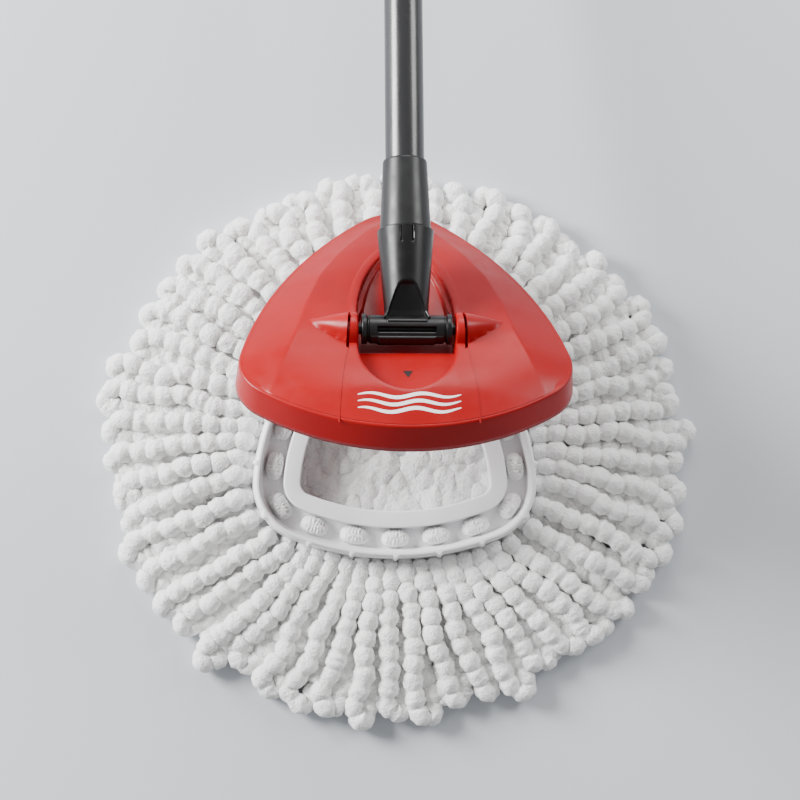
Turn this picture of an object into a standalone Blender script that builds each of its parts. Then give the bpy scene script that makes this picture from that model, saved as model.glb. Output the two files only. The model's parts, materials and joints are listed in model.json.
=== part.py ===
"""Spin mop: a triangular refill with yarn strands, a clip-on base and a telescopic handle.

Units are metres, +Z is up, +Y points to the back and +X to the right.
The origin is on the floor, under the middle of the refill.
The refill lies on the floor. The base is unclipped from it and tilted back, and the handle lies back
until its grip rests on the floor.
"""

import math
from dataclasses import dataclass

import bmesh
import bpy
from mathutils import Matrix, Vector

GAP = 0.0003                      # clearance between pieces that touch
OVERLAP = 0.0005                  # by which shapes that are joined reach into each other

# Refill
RING_BOTTOM_Z = 0.0120
RING_RIM_Z = 0.0300
RING_FLOOR_TOP_Z = 0.0175         # the channel's floor
RING_FLOOR_UNDER_Z = 0.0145
BAND_TOP_Z = 0.0265
BAND_UNDER_Z = 0.0240             # roof of the groove under the inner band
RIM_WIDTH = 0.0065
RIM_FOOT_WIDTH = 0.0022
RIM_FOOT_TOP_WIDTH = 0.0030
RIM_TOP_OUTER = 0.0022            # the rim's flat top, from the ring's edge
RIM_TOP_INNER = 0.0044
RIM_CHAMFER = 0.0008
RIM_SLOPE = 0.0016                # how far the outer wall leans in
CHANNEL_WIDTH = 0.0119
BAND_WIDTH = 0.0103
BAND_DRAFT = 0.0004
BAND_OUTER_WALL = 0.0024          # walls on both sides of the groove
BAND_INNER_WALL = 0.0020
TUFTS = 18
TUFT_LENGTH = 0.0150              # slot length along the channel
TUFT_WIDTH = 0.0086
TUFT_TOP_Z = 0.0228
MOP_RADIUS_X = 0.1765             # the spread strands
MOP_RADIUS_Y = 0.1665
MOP_CENTRE_Y = 0.0020
STRAND_SECTION = (                # (part of the way from the ring to the edge, top height)
    (0.0, 0.0190), (0.35, 0.0205), (0.85, 0.0180), (1.0, 0.0070),
)
ROOT_SECTION = (                  # (offset from the ring's edge, top height) under the ring
    (-0.0190, 0.0100), (-0.0180, 0.0136), (-0.0045, 0.0136), (-0.0026, 0.0113), (0.0006, 0.0113),
)
STRAND_START = 0.0080             # from the ring's edge
CENTRE_TOP_Z = 0.0112             # the short yarns inside the ring
CENTRE_EDGE_Z = 0.0080
CENTRE_UNDERLAP = 0.0060          # how far they reach under the band
CENTRE_SHOULDER = 0.0040
BUNDLE_ACROSS = (-0.48, -0.16, 0.16, 0.48)       # lines across a bundle, in tuft spacings
BUNDLE_EDGE = 0.85                # height of a bundle's edges against its middle

# Base
SKIRT_HEIGHT = 0.0180
SKIRT_FLARE = 0.0018
WALL = 0.0024
DOME_SECTION = (                  # (offset from the outline, height over the rim's plane)
    (SKIRT_FLARE, -SKIRT_HEIGHT), (0.0, -0.0012), (-0.0016, 0.0), (-0.0100, 0.0044), (-0.0180, 0.0080),
    (-0.0245, 0.0102),
)
BASE_TILT = math.radians(40.0)    # how far the unclipped base leans back
BASE_CENTRE = Vector((0.0, 0.0626, 0.1078))      # its rim's centre when it leans back
CLIPPED_CENTRE = Vector((0.0, -0.0010, 0.0410))  # its rim's centre when it is clipped on
HINGE_Y = -0.0070                 # handle hinge, from the rim's centre
HINGE_Z = 0.0120
ABOVE = 0.0300                    # cutters reach this far over the rim's plane
PIT_HALF_LENGTH = 0.0256          # the pit that the barrel turns in
PIT_FRONT_Y = -0.0180
PIT_BACK_Y = 0.0050
PIT_FLOOR_Z = -0.0010
FRONT_RECESS_HALF_WIDTH = 0.0270  # the D in front of the pit is half an ellipse
FRONT_RECESS_LENGTH = 0.0320
FRONT_FLOOR_Z = 0.0040
FRONT_FLOOR_RISE = 0.0050
REAR_RECESS = (                   # half of the arch behind the pit, as (X, Y)
    (0.0262, 0.0045), (0.0250, 0.0190), (0.0205, 0.0360), (0.0120, 0.0520), (0.0040, 0.0605),
)
REAR_RECESS_LENGTH = 0.0560
REAR_FLOOR_RISE = 0.0095
TUB_WIDENING = 1.09               # the recesses' outer walls against their openings
CHEEK_OUTER_X = 0.0303
SLIT_WIDTH = 0.0016
HUMP_TIP_X = 0.0555
HUMP_RADIUS = 0.0092
HUMP_TIP_RADIUS = 0.0016
LOCATOR_GAP = 0.0020              # between the locating wall and the ring's opening
LOCATOR_REACH = 0.0200            # how far it reaches under the rim's plane
LOCATOR_TOP_Z = 0.0092
LOCATOR_WALL = 0.0020
LOCATOR_OPEN_Y = 0.0150           # it is open behind this line

# Yoke and handle; distances along the handle start at the hinge
BARREL_RADIUS = 0.0085
BARREL_LENGTH = 0.0498
FLANGE_WIDTH = 0.0020             # at each end of the barrel
BARREL_WAIST = 0.0008             # how much thinner it is between the flanges
PIN_RADIUS = 0.0030
PIN_LENGTH = 0.0600
CONE_START = 0.0070
CONE_END = 0.0560
CONE_START_RADIUS = 0.0122
CONE_END_RADIUS = 0.0159
CONE_ROOT = 0.0030                # the cone's blunt start inside the barrel
CONE_ROOT_RADIUS = 0.0076
SOCKET_START_RADIUS = 0.0126
SOCKET_END_RADIUS = 0.0146
FERRULE_START = 0.0300
FERRULE_END = 0.0970
FERRULE_START_RADIUS = 0.0123
FERRULE_WIDE_RADIUS = 0.0143
FERRULE_END_RADIUS = 0.0124
FERRULE_STOP_RADIUS = 0.0085      # the shoulder that the tube stands on
LOWER_TUBE_RADIUS = 0.0110
UPPER_TUBE_RADIUS = 0.0095
TUBE_WALL = 0.0009
LOWER_TUBE_START = 0.0360
LOWER_TUBE_END = 0.5600
COLLAR_START = 0.5360
COLLAR_END = 0.5700
COLLAR_RADIUS = 0.0142
NUT_START = 0.5735
NUT_END = 0.6080
NUT_FLUTES = 12
NUT_SECTION = (                   # (distance along the handle, outer radius, flute depth)
    (NUT_START, 0.0146, 0.0), (NUT_START + 0.0030, 0.0157, 0.0008), (NUT_END - 0.0060, 0.0153, 0.0008),
    (NUT_END, 0.0126, 0.0),
)
COLLET_START = 0.5606
COLLET_WALL = 0.0013
COLLET_FLANGE_RADIUS = 0.0125
COLLET_SPLIT = 0.0016
UPPER_TUBE_START = 0.1120
GRIP_START = 0.6300
GRIP_END = 0.7640
GRIP_RADIUS = 0.0152
GRIP_START_RADIUS = 0.0118
GRIP_WAIST = 0.0012
PLUG_LENGTH = 0.0120              # each half of the guide plug
CAP_PLUG_LENGTH = 0.0200
CAP_END = 0.7900
HANG_HOLE_RADIUS = 0.0050
HANG_HOLE_FROM_END = 0.0115


@dataclass(frozen=True)
class Triangle:
    """A rounded triangle with bowed sides, mirrored about X = 0, its apex at +Y."""

    half_width: float
    apex: float
    front: float
    apex_radius: float
    corner_radius: float
    side_radius: float
    front_radius: float

    def arcs(self):
        """Return the right half as arcs, each (centre, radius, start angle, end angle), apex first."""
        corner_x = self.half_width - self.corner_radius
        front_centre = Vector((0.0, self.front_radius - self.front))
        reach = self.front_radius - self.corner_radius
        corner = Vector((corner_x, front_centre.y - math.sqrt(reach**2 - corner_x**2)))
        apex = Vector((0.0, self.apex - self.apex_radius))
        # The side's centre lies where its distances to both end centres fit a tangent arc.
        to_apex = self.side_radius - self.apex_radius
        to_corner = self.side_radius - self.corner_radius
        along = (corner - apex).normalized()
        span = (corner - apex).length
        part = (to_apex**2 - to_corner**2 + span**2) / (2.0 * span)
        across = Vector((along.y, -along.x))
        side = apex + along * part + across * math.sqrt(to_apex**2 - part**2)

        def angle(direction):
            return math.atan2(direction.y, direction.x)

        side_start = angle(apex - side)
        side_end = angle(corner - side)
        front_start = angle(corner - front_centre)
        return [
            (apex, self.apex_radius, math.pi / 2.0, side_start),
            (side, self.side_radius, side_start, side_end),
            (corner, self.corner_radius, side_end, front_start),
            (front_centre, self.front_radius, front_start, -math.pi / 2.0),
        ]

    def points(self, offset, steps=(4, 7, 6, 5)):
        """Return the closed outline, anticlockwise from above, moved outwards by an offset."""
        right = []
        for (centre, radius, start, end), count in zip(self.arcs(), steps):
            for step in range(count):
                turn = start + (end - start) * step / count
                right.append(centre + (radius + offset) * Vector((math.cos(turn), math.sin(turn))))
        centre, radius, _, end = self.arcs()[-1]
        right.append(centre + (radius + offset) * Vector((math.cos(end), math.sin(end))))
        left = [Vector((-point.x, point.y)) for point in right[1:-1]]
        return list(reversed(right)) + left

    def along(self, fraction, offset, path_offset):
        """Return a point at an offset, by its fraction of the path's length from the front's middle."""
        path = self.points(path_offset, (20, 30, 20, 20))
        moved = self.points(offset, (20, 30, 20, 20))
        path.append(path[0])
        moved.append(moved[0])
        lengths = [0.0]
        for start, end in zip(path, path[1:]):
            lengths.append(lengths[-1] + (end - start).length)
        target = (fraction % 1.0) * lengths[-1]
        for index in range(len(path) - 1):
            if lengths[index + 1] >= target:
                part = (target - lengths[index]) / (lengths[index + 1] - lengths[index])
                return moved[index].lerp(moved[index + 1], part)
        return moved[0]


RING = Triangle(0.0852, 0.0960, 0.0624, 0.0340, 0.0362, 0.1309, 0.1706)
BASE = Triangle(0.0926, 0.1045, 0.0698, 0.0346, 0.0278, 0.2005, 0.1378)


def clear_scene():
    """Remove whatever the scene starts with."""
    for item in list(bpy.data.objects):
        bpy.data.objects.remove(item, do_unlink=True)


def make_material(name, colour, roughness, metallic=0.0):
    """Return a plain Principled material."""
    material = bpy.data.materials.new(name)
    material.use_nodes = True
    shader = material.node_tree.nodes["Principled BSDF"]
    shader.inputs["Base Color"].default_value = (*colour, 1.0)
    shader.inputs["Roughness"].default_value = roughness
    shader.inputs["Metallic"].default_value = metallic
    material.diffuse_color = (*colour, 1.0)
    return material


def add_frame(name, location, tilt, parent=None):
    """Return an empty at a world place, turned about X, that other objects are parented to."""
    frame = bpy.data.objects.new(name, None)
    frame.location = location
    frame.rotation_euler = (tilt, 0.0, 0.0)
    bpy.context.collection.objects.link(frame)
    if parent is not None:
        frame.parent = parent
    return frame


def add_object(name, mesh_builder, material=None, parent=None):
    """Turn a bmesh into an object with outward faces; without a material it is a cutter."""
    bmesh.ops.recalc_face_normals(mesh_builder, faces=mesh_builder.faces[:])
    mesh = bpy.data.meshes.new(name)
    mesh_builder.to_mesh(mesh)
    mesh_builder.free()
    part = bpy.data.objects.new(name, mesh)
    bpy.context.collection.objects.link(part)
    if material is None:
        part.hide_render = True
        part.display_type = "WIRE"
    else:
        mesh.materials.append(material)
    if parent is not None:
        part.parent = parent
    return part


def boolean(part, other, operation):
    """Add an exact Boolean modifier."""
    modifier = part.modifiers.new(f"{operation.lower()}_{other.name}", "BOOLEAN")
    modifier.operation = operation
    modifier.solver = "EXACT"
    modifier.object = other


def smooth(part, angle=math.radians(35.0)):
    """Shade a round piece smooth up to an edge angle."""
    part.data.shade_smooth()
    part.data.set_sharp_from_angle(angle=angle)


def bridge(builder, rings, closed):
    """Join rings of equal length with quads, and cap them unless the profile is closed."""
    rows = [[builder.verts.new(point) for point in ring] for ring in rings]
    pairs = list(zip(rows, rows[1:]))
    if closed:
        pairs.append((rows[-1], rows[0]))
    for low, high in pairs:
        count = len(low)
        for index in range(count):
            following = (index + 1) % count
            builder.faces.new((low[index], low[following], high[following], high[index]))
    if not closed:
        builder.faces.new(rows[0])
        builder.faces.new(rows[-1])


def outline_loft(outline, profile, closed, steps=(4, 7, 6, 5)):
    """Return a bmesh that carries a profile of (offset, height) round an outline."""
    builder = bmesh.new()
    rings = [[(p.x, p.y, height) for p in outline.points(offset, steps)] for offset, height in profile]
    bridge(builder, rings, closed)
    return builder


def turned(profile, segments=32, start=0.0):
    """Return a bmesh: (distance, radius) points turned about the local Y axis.

    A profile whose first and last radius are zero is solid; any other one is a closed tube wall.
    """
    builder = bmesh.new()
    closed = profile[0][1] > 0.0
    points = [p for p in profile if p[1] > 0.0]
    rings = []
    for distance, radius in points:
        ring = []
        for step in range(segments):
            turn = start + 2.0 * math.pi * step / segments
            ring.append((radius * math.cos(turn), distance, radius * math.sin(turn)))
        rings.append(ring)
    bridge(builder, rings, closed)
    return builder


def tube_profile(start, end, outer_start, outer_end, inner):
    """Return the wall profile of a tube with a straight bore."""
    return [(start, outer_start), (end, outer_end), (end, inner), (start, inner)]


def extruded(points, low, high):
    """Return a bmesh: an outline of XY points between two heights."""
    builder = bmesh.new()
    bridge(builder, [[(x, y, low) for x, y in points], [(x, y, high) for x, y in points]], closed=False)
    return builder


def sloped_prism(points, floor, top):
    """Return a bmesh: an outline of XY points with a floor that is a function of Y and a flat top."""
    builder = bmesh.new()
    bridge(builder, [[(x, y, floor(y)) for x, y in points], [(x, y, top) for x, y in points]], closed=False)
    return builder


def block(low, high):
    """Return a bmesh box between two corners."""
    (x0, y0, z0), (x1, y1, z1) = low, high
    return extruded([(x0, y0), (x1, y0), (x1, y1), (x0, y1)], z0, z1)


def oval(centre, direction, length, width, steps=12):
    """Return XY points of a stadium along a direction."""
    across = Vector((-direction.y, direction.x))
    half = (length - width) / 2.0
    points = []
    for step in range(steps):
        turn = 2.0 * math.pi * (step + 0.5) / steps - math.pi / 2.0
        shift = half if math.cos(turn) > 0.0 else -half
        along = shift + width / 2.0 * math.cos(turn)
        point = centre + direction * along + across * (width / 2.0 * math.sin(turn))
        points.append((point.x, point.y))
    return points


# ---------------------------------------------------------------- refill

ROOT_OFFSET = -(RIM_WIDTH + CHANNEL_WIDTH / 2.0)          # the channel's middle line


def tuft_place(index):
    """Return the middle of a tuft and the channel's direction there."""
    fraction = index / TUFTS
    centre = RING.along(fraction, ROOT_OFFSET, ROOT_OFFSET)
    ahead = RING.along(fraction + 0.004, ROOT_OFFSET, ROOT_OFFSET)
    behind = RING.along(fraction - 0.004, ROOT_OFFSET, ROOT_OFFSET)
    return centre, (ahead - behind).normalized()


def build_refill_ring(material):
    """The ring: sloped rim, slotted channel and an inner band with a groove under it."""
    channel_inner = -(RIM_WIDTH + CHANNEL_WIDTH)
    opening = channel_inner - BAND_WIDTH
    profile = [
        (0.0, RING_BOTTOM_Z),
        (-RIM_SLOPE, RING_RIM_Z - RIM_CHAMFER),
        (-RIM_TOP_OUTER, RING_RIM_Z),
        (-RIM_TOP_INNER, RING_RIM_Z),
        (-RIM_WIDTH, RING_FLOOR_TOP_Z),
        (channel_inner, RING_FLOOR_TOP_Z),
        (channel_inner - BAND_DRAFT, BAND_TOP_Z),
        (opening, BAND_TOP_Z),
        (opening, RING_FLOOR_UNDER_Z),
        (opening + BAND_INNER_WALL, RING_FLOOR_UNDER_Z),
        (opening + BAND_INNER_WALL, BAND_UNDER_Z),
        (channel_inner - BAND_OUTER_WALL, BAND_UNDER_Z),
        (channel_inner - BAND_OUTER_WALL, RING_FLOOR_UNDER_Z),
        (-RIM_FOOT_TOP_WIDTH, RING_FLOOR_UNDER_Z),
        (-RIM_FOOT_WIDTH, RING_BOTTOM_Z),
    ]
    ring = add_object("refill_ring", outline_loft(RING, profile, closed=True), material)
    slots = bmesh.new()
    for index in range(TUFTS):
        centre, direction = tuft_place(index)
        points = oval(centre, direction, TUFT_LENGTH, TUFT_WIDTH)
        low = RING_FLOOR_UNDER_Z - 0.003
        high = RING_FLOOR_TOP_Z + 0.003
        bridge(slots, [[(x, y, low) for x, y in points], [(x, y, high) for x, y in points]], closed=False)
    boolean(ring, add_object("slot_cutters", slots), "DIFFERENCE")
    return ring


def build_lock_ring(material):
    """The ring that is pressed into the groove and holds the strands' roots."""
    outer = -(RIM_WIDTH + CHANNEL_WIDTH) - BAND_OUTER_WALL - GAP
    inner = -(RIM_WIDTH + CHANNEL_WIDTH + BAND_WIDTH) + BAND_INNER_WALL + GAP
    top = BAND_UNDER_Z - GAP
    profile = [(outer, RING_BOTTOM_Z), (outer, top), (inner, top), (inner, RING_BOTTOM_Z)]
    return add_object("lock_ring", outline_loft(RING, profile, closed=True), material)


def disc_edge(fraction):
    """Return the point on the spread strands' edge at a fraction of a turn from the front."""
    turn = 2.0 * math.pi * fraction - math.pi / 2.0
    return Vector((MOP_RADIUS_X * math.cos(turn), MOP_CENTRE_Y + MOP_RADIUS_Y * math.sin(turn)))


def bundle_line(fraction):
    """Return the stations of a line from the ring's root to the strands' edge, as (point, top height)."""
    stations = [(RING.along(fraction, offset, ROOT_OFFSET), top) for offset, top in ROOT_SECTION]
    start = RING.along(fraction, STRAND_START, ROOT_OFFSET)
    edge = disc_edge(fraction)
    for part, top in STRAND_SECTION:
        stations.append((start.lerp(edge, part), top))
    return stations


def build_bundle(index, material):
    """One bundle of strands: a wedge that lies on the floor, and its tuft in the ring's slot."""
    lines = [bundle_line((index + across) / TUFTS) for across in BUNDLE_ACROSS]
    rings = []
    for stations in zip(*lines):
        under = [(point.x, point.y, 0.0) for point, _ in stations]
        over = [(point.x, point.y, top) for point, top in stations]
        over[0] = (*over[0][:2], over[0][2] * BUNDLE_EDGE)
        over[-1] = (*over[-1][:2], over[-1][2] * BUNDLE_EDGE)
        rings.append(under + over[::-1])
    builder = bmesh.new()
    bridge(builder, rings, closed=False)
    bundle = add_object(f"strand_bundle_{index + 1:02d}", builder, material)
    centre, direction = tuft_place(index)
    points = oval(centre, direction, TUFT_LENGTH - 2.5 * GAP, TUFT_WIDTH - 2.5 * GAP)
    tuft = add_object(f"tuft_guide_{index + 1:02d}", extruded(points, 0.0050, TUFT_TOP_Z))
    boolean(bundle, tuft, "UNION")
    return bundle


def build_strand_centre(material):
    """The short yarns inside the ring, with a flat underside."""
    opening = -(RIM_WIDTH + CHANNEL_WIDTH + BAND_WIDTH)
    outer = opening + CENTRE_UNDERLAP
    profile = [(outer, 0.0), (outer, CENTRE_EDGE_Z), (opening - CENTRE_SHOULDER, CENTRE_TOP_Z)]
    return add_object("strand_centre", outline_loft(RING, profile, closed=False), material)


# ---------------------------------------------------------------- base

def rear_recess_outline():
    """Return the arch behind the hinge."""
    return list(REAR_RECESS) + [(-x, y) for x, y in reversed(REAR_RECESS)]


def front_recess_outline():
    """Return the D in front of the hinge: a half ellipse."""
    points = []
    for step in range(13):
        turn = math.pi + math.pi * step / 12
        points.append((FRONT_RECESS_HALF_WIDTH * math.cos(turn),
                       PIT_FRONT_Y + OVERLAP + FRONT_RECESS_LENGTH * math.sin(turn)))
    return points


def front_floor(y):
    """The front recess's floor rises from its step to the panel."""
    return FRONT_FLOOR_Z + (PIT_FRONT_Y - y) / FRONT_RECESS_LENGTH * FRONT_FLOOR_RISE


def rear_floor(y):
    """The rear recess's floor rises from the pit to the panel."""
    return (y - PIT_BACK_Y) / REAR_RECESS_LENGTH * REAR_FLOOR_RISE


def front_under(y):
    """The underside of the front recess's floor."""
    return front_floor(y) - WALL


def rear_under(y):
    """The underside of the rear recess's floor."""
    return rear_floor(y) - WALL


def tub_block(frame):
    """Return the solid left round the recesses when the base is hollowed out."""
    tub = add_object("tub_pit", block((-CHEEK_OUTER_X, PIT_FRONT_Y - WALL, PIT_FLOOR_Z - WALL),
                                      (CHEEK_OUTER_X, PIT_BACK_Y + WALL, ABOVE)), None, frame)
    front = [(x * TUB_WIDENING, y - WALL / 2.0) for x, y in front_recess_outline()]
    boolean(tub, add_object("tub_front", sloped_prism(front, front_under, ABOVE), None, frame), "UNION")
    rear = [(x * TUB_WIDENING, y + (WALL * 0.75 if y > PIT_BACK_Y else -OVERLAP)) for x, y in rear_recess_outline()]
    boolean(tub, add_object("tub_rear", sloped_prism(rear, rear_under, ABOVE), None, frame), "UNION")
    return tub


def build_humps(frame):
    """The cones that lie along X outside the cheeks; their back edge runs straight."""
    builder = bmesh.new()
    rings = []
    for x, radius in ((-HUMP_TIP_X, HUMP_TIP_RADIUS), (-CHEEK_OUTER_X, HUMP_RADIUS), (CHEEK_OUTER_X, HUMP_RADIUS),
                      (HUMP_TIP_X, HUMP_TIP_RADIUS)):
        turns = [2.0 * math.pi * step / 20 for step in range(20)]
        centre_y = HINGE_Y + HUMP_RADIUS - radius
        rings.append([(x, centre_y + radius * math.cos(t), HINGE_Z + radius * math.sin(t)) for t in turns])
    bridge(builder, rings, closed=False)
    return add_object("hump_guide", builder, None, frame)


def build_hollow(frame):
    """The space under the dome, less the solid round the recesses."""
    profile = [(offset - WALL, height - WALL) for offset, height in DOME_SECTION]
    profile[0] = (SKIRT_FLARE - WALL, -SKIRT_HEIGHT - WALL)
    hollow = add_object("hollow_cutter", outline_loft(BASE, profile, closed=False), None, frame)
    boolean(hollow, tub_block(frame), "DIFFERENCE")
    return hollow


def build_locator(frame):
    """The wall under the base that finds the ring's opening, open at the back and clear of the pit."""
    outer = -(RIM_WIDTH + CHANNEL_WIDTH + BAND_WIDTH) - LOCATOR_GAP
    inner = outer - LOCATOR_WALL
    wall = [(outer, -LOCATOR_REACH), (outer, LOCATOR_TOP_Z), (inner, LOCATOR_TOP_Z), (inner, -LOCATOR_REACH)]
    locator = add_object("locator_guide", outline_loft(RING, wall, closed=True), None, frame)
    locator.location.y = -CLIPPED_CENTRE.y
    behind = block((-0.1, LOCATOR_OPEN_Y, -0.05), (0.1, 0.2, 0.05))
    boolean(locator, add_object("locator_trim", behind, None, frame), "DIFFERENCE")
    pit = block((-CHEEK_OUTER_X, PIT_FRONT_Y - WALL / 2.0, PIT_FLOOR_Z - WALL), (CHEEK_OUTER_X, PIT_BACK_Y, ABOVE))
    boolean(locator, add_object("locator_keep_out", pit, None, frame), "DIFFERENCE")
    return locator


def build_recess(frame):
    """The space of the pit and of the recesses before and behind it."""
    recess = add_object("recess_pit", block((-PIT_HALF_LENGTH, PIT_FRONT_Y, PIT_FLOOR_Z),
                                            (PIT_HALF_LENGTH, PIT_BACK_Y, ABOVE)), None, frame)
    front = sloped_prism(front_recess_outline(), front_floor, ABOVE)
    boolean(recess, add_object("recess_front", front, None, frame), "UNION")
    rear = sloped_prism(rear_recess_outline(), rear_floor, ABOVE)
    boolean(recess, add_object("recess_rear", rear, None, frame), "UNION")
    return recess


def cross_cylinder(radius, half_length, y=0.0, z=0.0):
    """Return a bmesh cylinder along X through a (Y, Z) place."""
    profile = [(-half_length, 0.0), (-half_length, radius), (half_length, radius), (half_length, 0.0)]
    builder = turned(profile, 20)
    bmesh.ops.rotate(builder, verts=builder.verts[:], matrix=Matrix.Rotation(-math.pi / 2.0, 3, "Z"))
    bmesh.ops.translate(builder, verts=builder.verts[:], vec=(0.0, y, z))
    return builder


def build_base_shell(material, frame):
    """The base: domed shell with skirt, hinge cheeks and humps, recesses, slits and locating wall."""
    shell = add_object("base_shell", outline_loft(BASE, DOME_SECTION, closed=False), material, frame)
    boolean(shell, build_humps(frame), "UNION")
    boolean(shell, build_hollow(frame), "DIFFERENCE")
    boolean(shell, build_locator(frame), "UNION")
    boolean(shell, build_recess(frame), "DIFFERENCE")
    for side, name in ((-1.0, "slit_left"), (1.0, "slit_right")):
        low_x, high_x = sorted((side * CHEEK_OUTER_X, side * (CHEEK_OUTER_X + SLIT_WIDTH)))
        slit = block((low_x, PIT_FRONT_Y - SLIT_WIDTH, -0.004), (high_x, PIT_BACK_Y - 2.0 * SLIT_WIDTH, ABOVE))
        boolean(shell, add_object(name, slit, None, frame), "DIFFERENCE")
    bore = cross_cylinder(PIN_RADIUS + GAP, CHEEK_OUTER_X + SLIT_WIDTH, HINGE_Y, HINGE_Z)
    boolean(shell, add_object("pin_bore", bore, None, frame), "DIFFERENCE")
    return shell


def build_hinge_pin(material, frame):
    """The pin through both cheeks and the barrel."""
    return add_object("hinge_pin", cross_cylinder(PIN_RADIUS, PIN_LENGTH / 2.0, HINGE_Y, HINGE_Z), material, frame)


# ---------------------------------------------------------------- handle

def build_yoke(material, frame):
    """The cross barrel and the cone that rises from it, with a socket for the ferrule."""
    half = BARREL_LENGTH / 2.0
    waist = BARREL_RADIUS - BARREL_WAIST
    barrel = turned([
        (-half, 0.0), (-half, BARREL_RADIUS), (-half + FLANGE_WIDTH, BARREL_RADIUS), (-half + FLANGE_WIDTH, waist),
        (half - FLANGE_WIDTH, waist), (half - FLANGE_WIDTH, BARREL_RADIUS), (half, BARREL_RADIUS), (half, 0.0),
    ], 32)
    bmesh.ops.rotate(barrel, verts=barrel.verts[:], matrix=Matrix.Rotation(-math.pi / 2.0, 3, "Z"))
    yoke = add_object("yoke", barrel, material, frame)
    cone = turned([
        (CONE_ROOT, 0.0), (CONE_ROOT, CONE_ROOT_RADIUS), (CONE_START, CONE_START_RADIUS),
        (CONE_END, CONE_END_RADIUS), (CONE_END, 0.0),
    ], 32)
    boolean(yoke, add_object("cone_guide", cone, None, frame), "UNION")
    beyond = CONE_END + OVERLAP
    socket = turned([
        (FERRULE_START - GAP, 0.0), (FERRULE_START - GAP, SOCKET_START_RADIUS), (beyond, SOCKET_END_RADIUS),
        (beyond, 0.0),
    ], 32)
    boolean(yoke, add_object("socket_cutter", socket, None, frame), "DIFFERENCE")
    bore = cross_cylinder(PIN_RADIUS + GAP, PIN_LENGTH / 2.0)
    boolean(yoke, add_object("yoke_bore", bore, None, frame), "DIFFERENCE")
    return yoke


def build_ferrule(material, frame):
    """The tapered sleeve between the cone and the lower tube."""
    tube_bore = LOWER_TUBE_RADIUS + GAP
    profile = [
        (FERRULE_START, FERRULE_START_RADIUS), (CONE_END + 2.0 * OVERLAP, FERRULE_WIDE_RADIUS),
        (FERRULE_END - OVERLAP, FERRULE_END_RADIUS), (FERRULE_END, FERRULE_END_RADIUS - OVERLAP),
        (FERRULE_END, tube_bore), (LOWER_TUBE_START - GAP, tube_bore),
        (LOWER_TUBE_START - GAP, FERRULE_STOP_RADIUS), (FERRULE_START, FERRULE_STOP_RADIUS),
    ]
    ferrule = add_object("ferrule", turned(profile), material, frame)
    smooth(ferrule)
    return ferrule


def build_tube(name, start, end, radius, material, frame):
    """A straight steel tube."""
    tube = add_object(name, turned(tube_profile(start, end, radius, radius, radius - TUBE_WALL)), material, frame)
    smooth(tube)
    return tube


def build_collar(material, frame):
    """The collar on the lower tube's end: it carries the lock nut's seat."""
    bore = LOWER_TUBE_RADIUS + GAP
    seat = UPPER_TUBE_RADIUS + COLLET_WALL + 2.0 * GAP + GAP / 3.0
    profile = [
        (COLLAR_START, bore + 0.0011), (COLLAR_START + 0.0040, COLLAR_RADIUS), (COLLAR_END - 0.0010, COLLAR_RADIUS),
        (COLLAR_END, COLLAR_RADIUS - 0.0006), (COLLAR_END, seat), (LOWER_TUBE_END + GAP, seat),
        (LOWER_TUBE_END + GAP, bore), (COLLAR_START, bore),
    ]
    collar = add_object("lock_collar", turned(profile), material, frame)
    smooth(collar)
    return collar


def build_collet(material, frame):
    """The split sleeve that grips the upper tube inside the nut."""
    inner = UPPER_TUBE_RADIUS + GAP
    profile = [
        (COLLET_START, inner + COLLET_WALL), (COLLAR_END, inner + COLLET_WALL),
        (COLLAR_END + GAP, COLLET_FLANGE_RADIUS), (COLLAR_END + 0.0030, COLLET_FLANGE_RADIUS),
        (COLLAR_END + 0.0030, 0.0116), (NUT_END - 0.0060, 0.0112), (NUT_END - 0.0060, inner), (COLLET_START, inner),
    ]
    collet = add_object("collet", turned(profile), material, frame)
    slot = block((-COLLET_SPLIT / 2.0, COLLET_START - OVERLAP, 0.0), (COLLET_SPLIT / 2.0, NUT_END, 0.02))
    boolean(collet, add_object("collet_split", slot, None, frame), "DIFFERENCE")
    return collet


def build_lock_nut(material, frame):
    """The twist nut, fluted for the hand."""
    builder = bmesh.new()
    turns = [2.0 * math.pi * step / (4 * NUT_FLUTES) for step in range(4 * NUT_FLUTES)]
    rings = []
    for distance, radius, depth in NUT_SECTION:
        ring = []
        for step, turn in enumerate(turns):
            dip = depth if step % 4 == 0 else 0.0
            ring.append(((radius - dip) * math.cos(turn), distance, (radius - dip) * math.sin(turn)))
        rings.append(ring)
    for distance, radius in ((NUT_END, UPPER_TUBE_RADIUS + GAP), (NUT_END - 0.0050, UPPER_TUBE_RADIUS + GAP),
                             (NUT_END - 0.0055, 0.0119), (NUT_START, 0.0121)):
        rings.append([(radius * math.cos(t), distance, radius * math.sin(t)) for t in turns])
    bridge(builder, rings, closed=True)
    nut = add_object("lock_nut", builder, material, frame)
    smooth(nut)
    return nut


def build_guide_plug(material, frame):
    """The plug on the upper tube's inner end; it slides in the lower tube."""
    bore = UPPER_TUBE_RADIUS - TUBE_WALL - GAP
    outer = LOWER_TUBE_RADIUS - TUBE_WALL - GAP
    profile = [
        (UPPER_TUBE_START - PLUG_LENGTH, 0.0), (UPPER_TUBE_START - PLUG_LENGTH, outer - 0.0010),
        (UPPER_TUBE_START - PLUG_LENGTH + 0.0010, outer), (UPPER_TUBE_START - GAP, outer),
        (UPPER_TUBE_START - GAP, bore), (UPPER_TUBE_START + PLUG_LENGTH, bore), (UPPER_TUBE_START + PLUG_LENGTH, 0.0),
    ]
    plug = add_object("guide_plug", turned(profile, 24), material, frame)
    smooth(plug)
    return plug


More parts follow.
